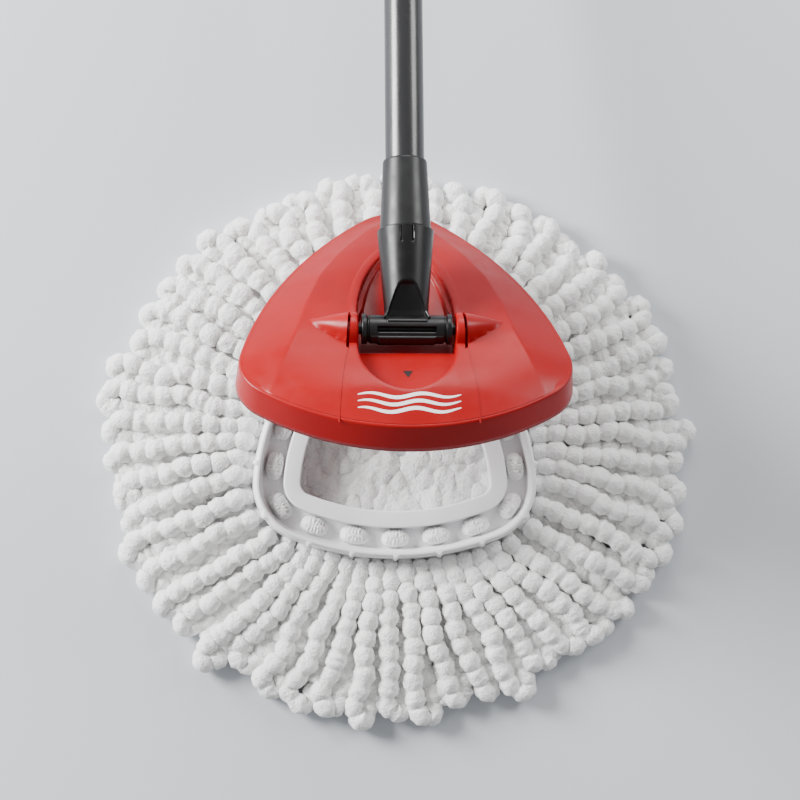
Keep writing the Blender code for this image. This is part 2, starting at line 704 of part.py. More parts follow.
def build_grip(material, frame):
    """The soft grip sleeve with a slight waist."""
    bore = UPPER_TUBE_RADIUS + GAP
    length = GRIP_END - GRIP_START
    profile = [(GRIP_START, GRIP_START_RADIUS), (GRIP_START + 0.0060, GRIP_RADIUS - GRIP_WAIST)]
    for step in range(1, 6):
        part = step / 6.0
        radius = GRIP_RADIUS - GRIP_WAIST * math.sin(math.pi * part) ** 2
        profile.append((GRIP_START + length * part, radius))
    profile += [(GRIP_END, GRIP_RADIUS), (GRIP_END, bore), (GRIP_START, bore)]
    grip = add_object("grip_sleeve", turned(profile), material, frame)
    smooth(grip)
    return grip


def build_end_cap(material, frame):
    """The cap with a flattened, drilled end to hang the mop by."""
    plug_radius = UPPER_TUBE_RADIUS - TUBE_WALL - GAP
    start = GRIP_END + GAP
    body = turned([
        (start - CAP_PLUG_LENGTH, 0.0), (start - CAP_PLUG_LENGTH, plug_radius), (start, plug_radius),
        (start, GRIP_RADIUS), (start + 0.0060, GRIP_RADIUS), (CAP_END - 0.0050, GRIP_RADIUS * 0.88),
        (CAP_END - 0.0014, GRIP_RADIUS * 0.7), (CAP_END, GRIP_RADIUS * 0.45), (CAP_END, 0.0),
    ])
    cap = add_object("end_cap", body, material, frame)
    hole = cross_cylinder(HANG_HOLE_RADIUS, 1.2 * GRIP_RADIUS, CAP_END - HANG_HOLE_FROM_END)
    boolean(cap, add_object("hang_hole", hole, None, frame), "DIFFERENCE")
    return cap


def rotate_back(point, angle):
    """Turn a (Y, Z) place about X by an angle, as a vector."""
    return Matrix.Rotation(angle, 3, "X") @ point


def latch_pivot():
    """Return the pivot that carries the tilted base onto the ring.

    It is the one fixed point of the turn by BASE_TILT that takes BASE_CENTRE to CLIPPED_CENTRE:
    pivot = (I - R)^-1 (clipped - R base), worked out in the YZ plane.
    """
    shift = CLIPPED_CENTRE - rotate_back(BASE_CENTRE, BASE_TILT)
    cosine = math.cos(BASE_TILT)
    sine = math.sin(BASE_TILT)
    scale = (1.0 - cosine) ** 2 + sine**2
    y = ((1.0 - cosine) * shift.y - sine * shift.z) / scale
    z = (sine * shift.y + (1.0 - cosine) * shift.z) / scale
    return Vector((0.0, y, z))


def hinge_place():
    """Return the handle hinge's place in the world."""
    return BASE_CENTRE + rotate_back(Vector((0.0, HINGE_Y, HINGE_Z)), -BASE_TILT)


def handle_drop():
    """Return the angle below level at which the cap's widest part touches the floor."""
    length = CAP_END - 0.0200
    height = hinge_place().z
    return math.asin(height / math.hypot(length, GRIP_RADIUS)) - math.atan(GRIP_RADIUS / length)


def main():
    """Build the mop."""
    clear_scene()
    red = make_material("red_plastic", (0.62, 0.035, 0.040), 0.35)
    black = make_material("black_plastic", (0.012, 0.011, 0.012), 0.40)
    dark_grey = make_material("dark_grey_plastic", (0.045, 0.045, 0.046), 0.45)
    tube_paint = make_material("dark_tube_paint", (0.055, 0.055, 0.058), 0.30, 0.4)
    white = make_material("white_plastic", (0.80, 0.80, 0.80), 0.40)
    yarn = make_material("white_yarn", (0.86, 0.86, 0.85), 0.95)

    build_refill_ring(white)
    build_lock_ring(white)
    for index in range(TUFTS):
        build_bundle(index, yarn)
    build_strand_centre(yarn)

    latch = add_frame("latch_axis", latch_pivot(), -BASE_TILT)
    base = add_frame("base_frame", Matrix.Rotation(BASE_TILT, 3, "X") @ (BASE_CENTRE - latch_pivot()), 0.0, latch)
    build_base_shell(red, base)
    build_hinge_pin(black, base)

    handle = add_frame("handle_axis", hinge_place(), -handle_drop())
    build_yoke(black, handle)
    build_ferrule(dark_grey, handle)
    build_tube("lower_tube", LOWER_TUBE_START, LOWER_TUBE_END, LOWER_TUBE_RADIUS, tube_paint, handle)
    build_collar(dark_grey, handle)
    build_collet(white, handle)
    build_lock_nut(red, handle)
    build_tube("upper_tube", UPPER_TUBE_START, GRIP_END - 0.0010, UPPER_TUBE_RADIUS, tube_paint, handle)
    build_guide_plug(dark_grey, handle)
    build_grip(dark_grey, handle)
    build_end_cap(red, handle)


if __name__ == "__main__":
    main()
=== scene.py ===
"""Looks of a spin mop: the visible surfaces and finishes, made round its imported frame.

Units are metres. +X is right, +Y runs from the mop head to the grip, +Z is up.
"""

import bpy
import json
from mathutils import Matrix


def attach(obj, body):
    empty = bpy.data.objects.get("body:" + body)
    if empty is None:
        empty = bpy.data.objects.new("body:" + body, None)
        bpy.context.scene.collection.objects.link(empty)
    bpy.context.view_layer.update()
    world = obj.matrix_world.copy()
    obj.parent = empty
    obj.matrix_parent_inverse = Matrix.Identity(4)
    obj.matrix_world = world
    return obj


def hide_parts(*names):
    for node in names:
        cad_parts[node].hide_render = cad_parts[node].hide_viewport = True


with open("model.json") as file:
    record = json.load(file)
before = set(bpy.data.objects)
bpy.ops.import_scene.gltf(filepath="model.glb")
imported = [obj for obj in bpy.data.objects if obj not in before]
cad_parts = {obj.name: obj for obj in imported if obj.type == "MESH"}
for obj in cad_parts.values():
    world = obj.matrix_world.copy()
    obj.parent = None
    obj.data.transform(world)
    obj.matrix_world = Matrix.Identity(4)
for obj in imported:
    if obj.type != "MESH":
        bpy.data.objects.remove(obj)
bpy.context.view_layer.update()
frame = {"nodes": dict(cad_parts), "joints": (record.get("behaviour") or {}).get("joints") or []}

import json
import logging
import math
from collections.abc import Callable, Sequence
from dataclasses import dataclass, field
from enum import Enum
from functools import cache
from typing import Any

import bmesh
import bpy
import numpy as np
from mathutils import Matrix, Vector

log = logging.getLogger("spin_mop")
Array = np.ndarray
Curve = Callable[[Array], Array]
Corner = tuple[float, float, float]         # of a section: distance along, height or radius, rounding

MM = 0.001
WELD = 1e-6                       # points closer than this are one point


class Body(Enum):
    """The bodies of the frame that the pieces ride on."""

    REFILL = "refill"
    BASE = "base"
    LOWER = "lower_handle"
    NUT = "lock_nut"
    UPPER = "upper_handle"


class Slot(Enum):
    """The record's material slots."""

    RED = "red_plastic"
    BLACK = "black_plastic"
    GREY = "dark_grey_plastic"
    TUBE = "tube_paint"
    WHITE = "white_plastic"
    YARN = "yarn"
    GRIP = "grip"


# ------------------------------------------------------------------ finishes

def linear(code: str) -> tuple[float, float, float, float]:
    """Turn an sRGB hex colour to linear.

    Args:
        code: six hex digits, such as "C8C8C4".

    Returns:
        Red, green, blue and an alpha of 1.
    """
    channels = [int(code[index:index + 2], 16) / 255.0 for index in (0, 2, 4)]
    bent = [c / 12.92 if c <= 0.04045 else ((c + 0.055) / 1.055) ** 2.4 for c in channels]
    return (bent[0], bent[1], bent[2], 1.0)


def feed(tree: bpy.types.NodeTree, node: bpy.types.Node, inputs: dict[Any, Any]) -> None:
    """Link or set a node's inputs, by name or number, from sockets or plain values."""
    for key, value in inputs.items():
        if isinstance(value, bpy.types.NodeSocket):
            tree.links.new(value, node.inputs[key])
        else:
            node.inputs[key].default_value = value


def add_node(tree: bpy.types.NodeTree, kind: str, settings: dict[str, Any] | None = None,
             inputs: dict[Any, Any] | None = None) -> bpy.types.Node:
    """Add a node with its settings and links.

    Args:
        tree: the material's node tree.
        kind: the node's type, without its "ShaderNode" prefix.
        settings: properties to set on the node.
        inputs: by input name or number, a socket to link from or a plain value.

    Returns:
        The new node.
    """
    node = tree.nodes.new(f"ShaderNode{kind}")
    for name, value in (settings or {}).items():
        setattr(node, name, value)
    feed(tree, node, inputs or {})
    return node


def start_material(name: str) -> tuple[bpy.types.Material, bpy.types.NodeTree, bpy.types.Node]:
    """Return a new material, its tree and its Principled shader."""
    material = bpy.data.materials.new(name)
    material.use_nodes = True
    tree = material.node_tree
    return material, tree, tree.nodes["Principled BSDF"]


def spots(tree: bpy.types.NodeTree, place: bpy.types.NodeSocket, size: float, detail: float = 2.0,
          roughness: float = 0.5) -> bpy.types.NodeSocket:
    """Return cloudy noise whose patches are about a size across.

    Args:
        tree: the material's node tree.
        place: the coordinates that the noise is read at.
        size: patch size in metres.
        detail: octaves of finer noise.
        roughness: how strong the finer noise is.

    Returns:
        The noise's factor socket.
    """
    node = add_node(tree, "TexNoise", inputs={
        "Vector": place, "Scale": 1.0 / size, "Detail": detail, "Roughness": roughness})
    return node.outputs["Fac"]


def remap(tree: bpy.types.NodeTree, value: bpy.types.NodeSocket, source: tuple[float, float],
          target: tuple[float, float]) -> bpy.types.NodeSocket:
    """Return a value moved from one range to another, clamped."""
    node = add_node(tree, "MapRange", inputs={
        "Value": value, "From Min": source[0], "From Max": source[1],
        "To Min": target[0], "To Max": target[1]})
    return node.outputs["Result"]


def mix_colour(tree: bpy.types.NodeTree, factor: bpy.types.NodeSocket, first: Any,
               second: Any) -> bpy.types.NodeSocket:
    """Return a blend from a first colour (factor 0) to a second colour (factor 1)."""
    node = add_node(tree, "Mix", {"data_type": "RGBA"}, {0: factor, 6: first, 7: second})
    return node.outputs[2]


def object_place(tree: bpy.types.NodeTree) -> bpy.types.NodeSocket:
    """Return the piece's own coordinates, in metres."""
    return add_node(tree, "TexCoord").outputs["Object"]


@dataclass(frozen=True)
class MouldedPlastic:
    """Injection-moulded plastic: a faint spark-eroded grain and a soft, slightly uneven gloss."""

    name: str
    colour: str
    shade: str                    # the colour of its faint cloudy patches
    roughness: float
    ior: float = 1.49             # polypropylene and ABS
    grain: float = 0.9 * MM       # drawn coarser than the real 0.1 mm, to show
    relief: float = 0.02 * MM
    specular: float = 0.5
    scatter: float = 0.0          # light that goes in and comes out again, for white plastic

    def build(self) -> bpy.types.Material:
        """Return the material."""
        material, tree, shader = start_material(self.name)
        place = object_place(tree)
        cloud = spots(tree, place, 38.0 * MM, 3.0)
        fine = spots(tree, place, self.grain, 2.0)
        scuff = spots(tree, place, 9.0 * MM, 3.0, 0.5)
        tone = remap(tree, cloud, (0.35, 0.65), (0.0, 1.0))
        gloss = remap(tree, scuff, (0.35, 0.75), (self.roughness - 0.03, self.roughness + 0.09))
        bump = add_node(tree, "Bump", inputs={"Height": fine, "Strength": 0.2, "Distance": self.relief})
        feed(tree, shader, {
            "Base Color": mix_colour(tree, tone, linear(self.colour), linear(self.shade)),
            "Roughness": gloss, "Normal": bump.outputs["Normal"], "IOR": self.ior,
            "Specular IOR Level": self.specular})
        if self.scatter:
            feed(tree, shader, {"Subsurface Weight": self.scatter, "Subsurface Radius": (1.0, 0.9, 0.8),
                                "Subsurface Scale": 2.0 * MM})
        return material


@dataclass(frozen=True)
class MicrofibreYarn:
    """Looped polyester microfibre: matt, with a pale sheen, fine fibre ridges, and painted shade that greys
    the hollows.
    """

    name: str
    colour: str
    # painted shade: the hollow colour is the shadow painted between the beads
    hollow: str                   # the colour between the beads
    ridge: float = 1.5 * MM       # fibre bundles, drawn coarser than the real 0.2 mm
    relief: float = 1.2 * MM
    sheen: float = 0.5

    def build(self) -> bpy.types.Material:
        """Return the material; its "hollow" attribute, 0 on a bead's crown and 1 between beads, paints shade
        into the hollows.
        """
        material, tree, shader = start_material(self.name)
        place = object_place(tree)
        hollow = add_node(tree, "Attribute", {"attribute_name": "hollow"}).outputs["Fac"]
        tuft = spots(tree, place, 6.0 * MM, 4.0, 0.6)
        fibre = spots(tree, place, self.ridge, 3.0, 0.7)
        # painted shade: the hollow mark, with some random tone, blends the colour towards the painted shade
        # colour
        depth = remap(tree, hollow, (0.25, 1.0), (0.0, 1.0))
        grey = add_node(tree, "Math", {"operation": "MULTIPLY_ADD"}, {0: tuft, 1: 0.35, 2: depth}).outputs[0]
        shaded = remap(tree, grey, (0.15, 1.3), (0.0, 1.0))
        coarse = add_node(tree, "Bump", inputs={
            "Height": tuft, "Strength": 0.5, "Distance": self.relief * 2.0})
        bump = add_node(tree, "Bump", inputs={
            "Height": fibre, "Strength": 0.8, "Distance": self.relief, "Normal": coarse.outputs["Normal"]})
        feed(tree, shader, {
            "Base Color": mix_colour(tree, shaded, linear(self.colour), linear(self.hollow)),
            "Normal": bump.outputs["Normal"], "Roughness": 0.95,
            "Sheen Weight": self.sheen, "Sheen Roughness": 0.6,
            "Subsurface Weight": 0.12, "Subsurface Radius": (1.0, 1.0, 1.0), "Subsurface Scale": 3.0 * MM})
        return material


@dataclass(frozen=True)
class PowderCoatedTube:
    """Steel tube under satin powder coat: fine orange peel, faint streaks along the tube."""

    name: str
    colour: str
    shade: str                    # the colour of its rubbed streaks
    roughness: float = 0.28

    def build(self) -> bpy.types.Material:
        """Return the material."""
        material, tree, shader = start_material(self.name)
        place = object_place(tree)
        streaks = add_node(tree, "Mapping", inputs={"Vector": place, "Scale": (1.0, 0.04, 1.0)}).outputs[0]
        rubbed = spots(tree, streaks, 3.0 * MM, 3.0, 0.6)
        peel = spots(tree, place, 1.4 * MM, 1.0)
        tone = remap(tree, rubbed, (0.35, 0.7), (0.0, 1.0))
        gloss = remap(tree, rubbed, (0.3, 0.7), (self.roughness - 0.04, self.roughness + 0.08))
        bump = add_node(tree, "Bump", inputs={"Height": peel, "Strength": 0.3, "Distance": 0.03 * MM})
        feed(tree, shader, {
            "Base Color": mix_colour(tree, tone, linear(self.colour), linear(self.shade)),
            "Roughness": gloss, "Normal": bump.outputs["Normal"], "IOR": 1.52,
            "Coat Weight": 0.25, "Coat Roughness": 0.15})
        return material


Finish = MouldedPlastic | MicrofibreYarn | PowderCoatedTube


POLISHED_TOOL = 0.004 * MM        # the relief that a polished mould leaves
RED_ABS = MouldedPlastic("red_abs_moulded", "98080D", "8F070C", 0.33, relief=POLISHED_TOOL, specular=0.28)
RED_GRIP_CAP = MouldedPlastic("red_pp_cap", "98080D", "8D070C", 0.38, relief=POLISHED_TOOL, specular=0.3)
BLACK_NYLON = MouldedPlastic("black_nylon_moulded", "0A090A", "0F0E0F", 0.34, ior=1.46, relief=POLISHED_TOOL,
                             specular=0.42)
GREY_PP = MouldedPlastic("dark_grey_pp_moulded", "1B1B1C", "171718", 0.36, relief=0.006 * MM, specular=0.4)
WHITE_PP = MouldedPlastic("white_pp_moulded", "F3F3F4", "EAEAEC", 0.40, scatter=0.15)
# painted shade: a dark inlay stands for the shade inside the moulded arrow hole in the recess
ARROW_HOLE_SHADE = MouldedPlastic("arrow_hole_painted_shade", "120809", "180A0B", 0.5)
SOFT_GRIP = MouldedPlastic("soft_touch_tpe", "262627", "2E2E30", 0.62, grain=1.4 * MM, relief=0.08 * MM)
PRINT_INK = MouldedPlastic("white_pad_print", "F4F2F0", "ECEAE8", 0.42)
TUBE_COAT = PowderCoatedTube("grey_powder_coat", "222224", "1C1C1E")
# painted shade: each yarn's third colour is the shade painted between its beads
YARN = MicrofibreYarn("white_microfibre_yarn", "FDFDFC", "DCDCDA")
# painted shade: the inner yarn is the same white yarn, darkened because it lies in shadow inside the ring
INNER_YARN_IN_SHADE = MicrofibreYarn("inner_microfibre_yarn_painted_shade", "E2E2E1", "BEBEBD")


@cache
def material_of(finish: Finish) -> bpy.types.Material:
    """Return a finish's material, made once."""
    return finish.build()


# ------------------------------------------------------------------ meshes

def circle(count: int) -> Array:
    """Return angles spaced evenly round a turn, from 0."""
    return np.linspace(0.0, 2.0 * np.pi, count, endpoint=False)


def unit(vectors: Array) -> Array:
    """Return vectors divided by their lengths."""
    return vectors / np.linalg.norm(vectors, axis=-1, keepdims=True)


def travelled(points: Array) -> Array:
    """Return the distance along a path at each of its points: the running sum of the steps' lengths."""
    return np.concatenate([[0.0], np.cumsum(np.linalg.norm(np.diff(points, axis=0), axis=1))])


def resampled(points: Array, run: Array, places: Array) -> Array:
    """Return a path's points at places, where run is the distance along it at each of its points."""
    return np.stack([np.interp(places, run, column) for column in points.T], axis=-1)


def capped(tube: Array) -> Array:
    """Return a tube's grid with a row added at each end, in which every point is that end's middle."""
    middle = np.broadcast_to(tube.mean(axis=1, keepdims=True), tube.shape)
    return np.concatenate([middle[:1], tube, middle[-1:]])


@dataclass
class Surface:
    """Points and quads gathered from grids, with one number a point that the yarns' finish reads as painted
    shade.
    """

    points: list[Array] = field(default_factory=list)
    quads: list[Array] = field(default_factory=list)
    marks: list[Array] = field(default_factory=list)
    count: int = 0

    @classmethod
    def of(cls, grid: Array) -> "Surface":
        """Return a surface of one grid."""
        surface = cls()
        surface.add_grid(grid)
        return surface

    def add_grid(self, grid: Array, mark: Array | float = 0.0) -> None:
        """Add a grid whose last column joins its first.

        Args:
            grid: points, shaped rows by columns by 3.
            mark: the painted shade number for the yarns' finish, alone or shaped rows by columns.
        """
        rows, columns = grid.shape[:2]
        row, column = np.meshgrid(np.arange(rows - 1), np.arange(columns), indexing="ij")
        following = (column + 1) % columns
        low, high = row * columns, (row + 1) * columns
        cells = np.stack([low + column, low + following, high + following, high + column], axis=-1)
        self.points.append(grid.reshape(-1, 3))
        self.quads.append(cells.reshape(-1, 4) + self.count)
        self.marks.append(np.broadcast_to(np.asarray(mark, float), (rows, columns)).reshape(-1))
        self.count += rows * columns

    def transformed(self, placement: "Placement") -> "Surface":
        """Return the same surface moved from a local frame to the world."""
        moved = [placement.to_world(block) for block in self.points]
        return Surface(moved, self.quads, self.marks, self.count)


@dataclass(frozen=True)
class Placement:
    """A local frame: an origin and a turn about X, positive from Y to Z."""

    origin: tuple[float, float, float]
    turn: float

    def to_world(self, points: Array) -> Array:
        """Return points moved to the world: y' = y cos - z sin, z' = y sin + z cos, plus the origin."""
        cosine, sine = math.cos(self.turn), math.sin(self.turn)
        x, y, z = points[..., 0], points[..., 1], points[..., 2]
        return np.stack([x, y * cosine - z * sine, y * sine + z * cosine], axis=-1) + np.array(self.origin)


def build_object(name: str, surface: Surface, finish: Finish, outward: bool = True,
                 sharp: float = 35.0) -> bpy.types.Object:
    """Turn a surface into a welded mesh object at the origin.

    Args:
        name: the piece's name.
        surface: its points and quads in the world.
        finish: what it is made of.
        outward: whether its faces are turned to point out, for a closed surface.
        sharp: degrees between faces above which an edge stays sharp.

    Returns:
        The new object.
    """
    mesh = bpy.data.meshes.new(name)
    mesh.from_pydata(np.concatenate(surface.points).tolist(), [], np.concatenate(surface.quads).tolist())
    # the "hollow" attribute carries the painted shade that the yarns' finish reads
    hollow = mesh.attributes.new("hollow", "FLOAT", "POINT")
    hollow.data.foreach_set("value", np.concatenate(surface.marks).astype(np.float32))
    builder = bmesh.new()
    builder.from_mesh(mesh)
    bmesh.ops.remove_doubles(builder, verts=builder.verts[:], dist=WELD)
    loose = [vertex for vertex in builder.verts if not vertex.link_faces]
    bmesh.ops.delete(builder, geom=loose, context="VERTS")
    if outward:
        bmesh.ops.recalc_face_normals(builder, faces=builder.faces[:])
    builder.to_mesh(mesh)
    builder.free()
    mesh.materials.append(material_of(finish))
    mesh.shade_smooth()
    mesh.set_sharp_from_angle(angle=math.radians(sharp))
    piece = bpy.data.objects.new(name, mesh)
    bpy.context.scene.collection.objects.link(piece)
    return piece


def place_piece(piece: bpy.types.Object, body: Body,
                nodes: Sequence[str] = ()) -> bpy.types.Object:
    """Let a piece ride on its body and stand for CAD nodes, and report it."""
    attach(piece, body.value)
    if nodes:
        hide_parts(*nodes)
    log.info("%s rides on %s, %d faces", piece.name, body.value, len(piece.data.polygons))
    return piece


def apply_modifiers(piece: bpy.types.Object) -> None:
    """Put a piece's modifiers into its mesh."""
    graph = bpy.context.evaluated_depsgraph_get()
    finished = bpy.data.meshes.new_from_object(piece.evaluated_get(graph))
    piece.modifiers.clear()
    piece.data = finished


def cut(piece: bpy.types.Object, cutters: Sequence[bpy.types.Object], sharp: float = 32.0) -> None:
    """Cut closed shapes out of a closed piece, then remove the shapes."""
    for cutter in cutters:
        modifier = piece.modifiers.new(cutter.name, "BOOLEAN")
        modifier.operation = "DIFFERENCE"
        modifier.solver = "EXACT"
        modifier.object = cutter
    apply_modifiers(piece)
    for cutter in cutters:
        bpy.data.objects.remove(cutter, do_unlink=True)
    piece.data.shade_smooth()
    piece.data.set_sharp_from_angle(angle=math.radians(sharp))


def lathe(profile: Sequence[tuple[float, float]], segments: int) -> Array:
    """Return a grid: (distance, radius) points turned about the local Y axis.

    Row i, column j is (r_i cos t_j, d_i, r_i sin t_j), with t_j even round the circle.
    """
    distance, radius = np.array(profile).T
    turn = circle(segments)
    return np.stack([radius[:, None] * np.cos(turn), np.repeat(distance[:, None], segments, axis=1),
                     radius[:, None] * np.sin(turn)], axis=-1)


def rounded_profile(corners: Sequence[Corner], steps: int = 4) -> list[tuple[float, float]]:
    """Return a profile whose corners are rounded.

    Args:
        corners: (distance, radius, rounding), the rounding a length kept back from each side.
        steps: points along each rounded corner.

    Returns:
        Points; each corner is a curve (1-t)^2 a + 2t(1-t) corner + t^2 b between its kept-back ends.
    """
    points: list[tuple[float, float]] = []
    for index, (distance, radius, rounding) in enumerate(corners):
        here = np.array((distance, radius))
        if rounding <= 0.0 or index in (0, len(corners) - 1):
            points.append((distance, radius))
            continue
        before = np.array(corners[index - 1][:2]) - here
        after = np.array(corners[index + 1][:2]) - here
        first = here + before / np.linalg.norm(before) * min(rounding, 0.45 * np.linalg.norm(before))
        last = here + after / np.linalg.norm(after) * min(rounding, 0.45 * np.linalg.norm(after))
        for step in range(steps + 1):
            t = step / steps
            point = (1 - t) ** 2 * first + 2 * t * (1 - t) * here + t * t * last
            points.append((float(point[0]), float(point[1])))
    return points


def in_metres(corners: Sequence[Corner]) -> list[Corner]:
    """Return a section's corners, given in millimetres, in metres."""
    return [(along * MM, up * MM, rounding * MM) for along, up, rounding in corners]


def closed_profile(corners: Sequence[Corner], steps: int = 4) -> list[tuple[float, float]]:
    """Return a closed profile with rounded corners, its first point repeated at the end."""
    ringed = [corners[-1], *corners, corners[0]]
    points = rounded_profile(ringed, steps)[1:-1]
    return [*points, points[0]]


def cross_bar(half_length: float, radius: float, rounding: float, segments: int) -> Array:
    """Return the grid of a round bar along X, its ends' edges rounded."""
    corners = [(-half_length, 0.0, 0.0), (-half_length, radius, rounding), (half_length, radius, rounding),
               (half_length, 0.0, 0.0)]
    return lathe(rounded_profile(corners), segments)[..., (1, 0, 2)]


def smooth_min(first: Array, second: Array, width: float) -> Array:
    """Return the lower of two heights, blended over a width where they cross."""
    part = np.clip(0.5 + 0.5 * (second - first) / width, 0.0, 1.0)
    return second + (first - second) * part - width * part * (1.0 - part)


def smooth_step(low: float, high: float, value: Array) -> Array:
    """Return 0 below a value, 1 above another, and 3t^2 - 2t^3 between."""
    part = np.clip((value - low) / (high - low), 0.0, 1.0)
    return part * part * (3.0 - 2.0 * part)


@dataclass(frozen=True)
class RoundedTriangle:
    """A closed outline of seven tangent arcs, mirrored about X = 0, its apex at +Y."""

    half_width: float
    apex: float
    front: float
    apex_radius: float
    corner_radius: float
    side_radius: float
    front_radius: float

    def arcs(self) -> list[tuple[Array, float, float, float]]:
        """Return the right half, front to apex, as arcs of (centre, radius, start angle, end angle)."""
        corner_x = self.half_width - self.corner_radius
        front_centre = np.array((0.0, self.front_radius - self.front))
        reach = self.front_radius - self.corner_radius
        corner = np.array((corner_x, front_centre[1] - math.sqrt(reach**2 - corner_x**2)))
        apex = np.array((0.0, self.apex - self.apex_radius))
        to_apex, to_corner = self.side_radius - self.apex_radius, self.side_radius - self.corner_radius
        span = float(np.linalg.norm(corner - apex))
        along = (corner - apex) / span
        part = (to_apex**2 - to_corner**2 + span**2) / (2.0 * span)
        side = apex + along * part + np.array((along[1], -along[0])) * math.sqrt(to_apex**2 - part**2)
        angles = [math.atan2(*(end - start)[::-1]) for start, end in
                  ((front_centre, corner), (side, corner), (side, apex))]
        return [
            (front_centre, self.front_radius, -math.pi / 2.0, angles[0]),
            (corner, self.corner_radius, angles[0], angles[1]),
            (side, self.side_radius, angles[1], angles[2]),
            (apex, self.apex_radius, angles[2], math.pi / 2.0),
        ]

    def locate(self, fraction: Array, offset: Array | float = 0.0, path_offset: float = 0.0) -> Array:
        """Return points on the outline moved outwards.

        Args:
            fraction: part of a turn, anticlockwise from the front's middle, by length along the path.
            offset: distance outwards.
            path_offset: the offset of the path that lengths are measured on.

        Returns:
            Points, shaped like fraction with a last axis of 2: centre + (radius + offset)(cos, sin).
        """
        arcs = self.arcs()
        lengths = np.array([(radius + path_offset) * (end - start) for _, radius, start, end in arcs])
        ends = np.cumsum(lengths)
        wrapped = np.mod(fraction, 1.0)
        left = wrapped > 0.5
        along = np.where(left, 1.0 - wrapped, wrapped) * 2.0 * ends[-1]
        index = np.minimum(np.searchsorted(ends, along), len(arcs) - 1)
        part = (along - (ends - lengths)[index]) / lengths[index]
        start = np.array([arc[2] for arc in arcs])[index]
        end = np.array([arc[3] for arc in arcs])[index]
        turn = start + (end - start) * part
        radius = np.array([arc[1] for arc in arcs])[index] + offset
        centre = np.array([arc[0] for arc in arcs])[index]
        x = centre[..., 0] + radius * np.cos(turn)
        y = centre[..., 1] + radius * np.sin(turn)
        return np.stack([np.where(left, -x, x), y], axis=-1)

    def fraction_at(self, y: float) -> float:
        """Return the fraction, on the right side between the widest place and the apex, at a Y."""
        trial = np.linspace(0.12, 0.5, 4000)
        return float(trial[np.argmin(np.abs(self.locate(trial)[:, 1] - y))])

    def depth(self, x: Array, y: Array) -> Array:
        """Return how far inside points are: the least radius - |p - centre| over the arcs they face."""
        best = np.full(np.shape(x), np.inf)
        slack = 1e-6
        for (centre_x, centre_y), radius, start, end in self.arcs():
            away_x, away_y = np.abs(x) - centre_x, y - centre_y
            turn = np.arctan2(away_y, away_x)
            turn = np.where(turn < start - np.pi, turn + 2.0 * np.pi, turn)
            faces = (turn >= start - slack) & (turn <= end + slack)
            best = np.where(faces, np.minimum(best, radius - np.hypot(away_x, away_y)), best)
        return best


# ------------------------------------------------------------------ places taken from the frame

JOINTS = {joint["name"]: joint for joint in frame["joints"]}
BASE_TILT = math.radians(40.0)                     # the unclipped base leans back
HINGE_IN_BASE = (-7.0 * MM, 12.0 * MM)             # the handle's hinge, from the base rim's centre
HINGE = np.array(JOINTS["head_tilt"]["pos_m"])
HANDLE_AXIS = np.array(JOINTS["nut_twist"]["axis"])
HANDLE_FRAME = Placement(tuple(HINGE), math.atan2(HANDLE_AXIS[2], HANDLE_AXIS[1]))


def base_frame() -> Placement:
    """Return the base's frame: its rim's centre, leaning back, so that the hinge falls on its joint."""
    shift = Placement((0.0, 0.0, 0.0), -BASE_TILT).to_world(np.array((0.0, *HINGE_IN_BASE)))
    return Placement(tuple(HINGE - shift), -BASE_TILT)


BASE_FRAME = base_frame()
RING = RoundedTriangle(85.2 * MM, 96.0 * MM, 62.4 * MM, 34.0 * MM, 36.2 * MM, 130.9 * MM, 170.6 * MM)
BASE = RoundedTriangle(92.6 * MM, 104.5 * MM, 69.8 * MM, 34.6 * MM, 27.8 * MM, 200.5 * MM, 137.8 * MM)
TUFTS = 18
RIM_WIDTH = 6.5 * MM
CHANNEL_WIDTH = 11.9 * MM
BAND_WIDTH = 10.3 * MM
ON_FLOOR = 0.1 * MM                                # the least height of the yarns' surfaces
CHANNEL_LINE = -(RIM_WIDTH + CHANNEL_WIDTH / 2.0)  # the channel's middle, from the ring's edge


# ------------------------------------------------------------------ refill

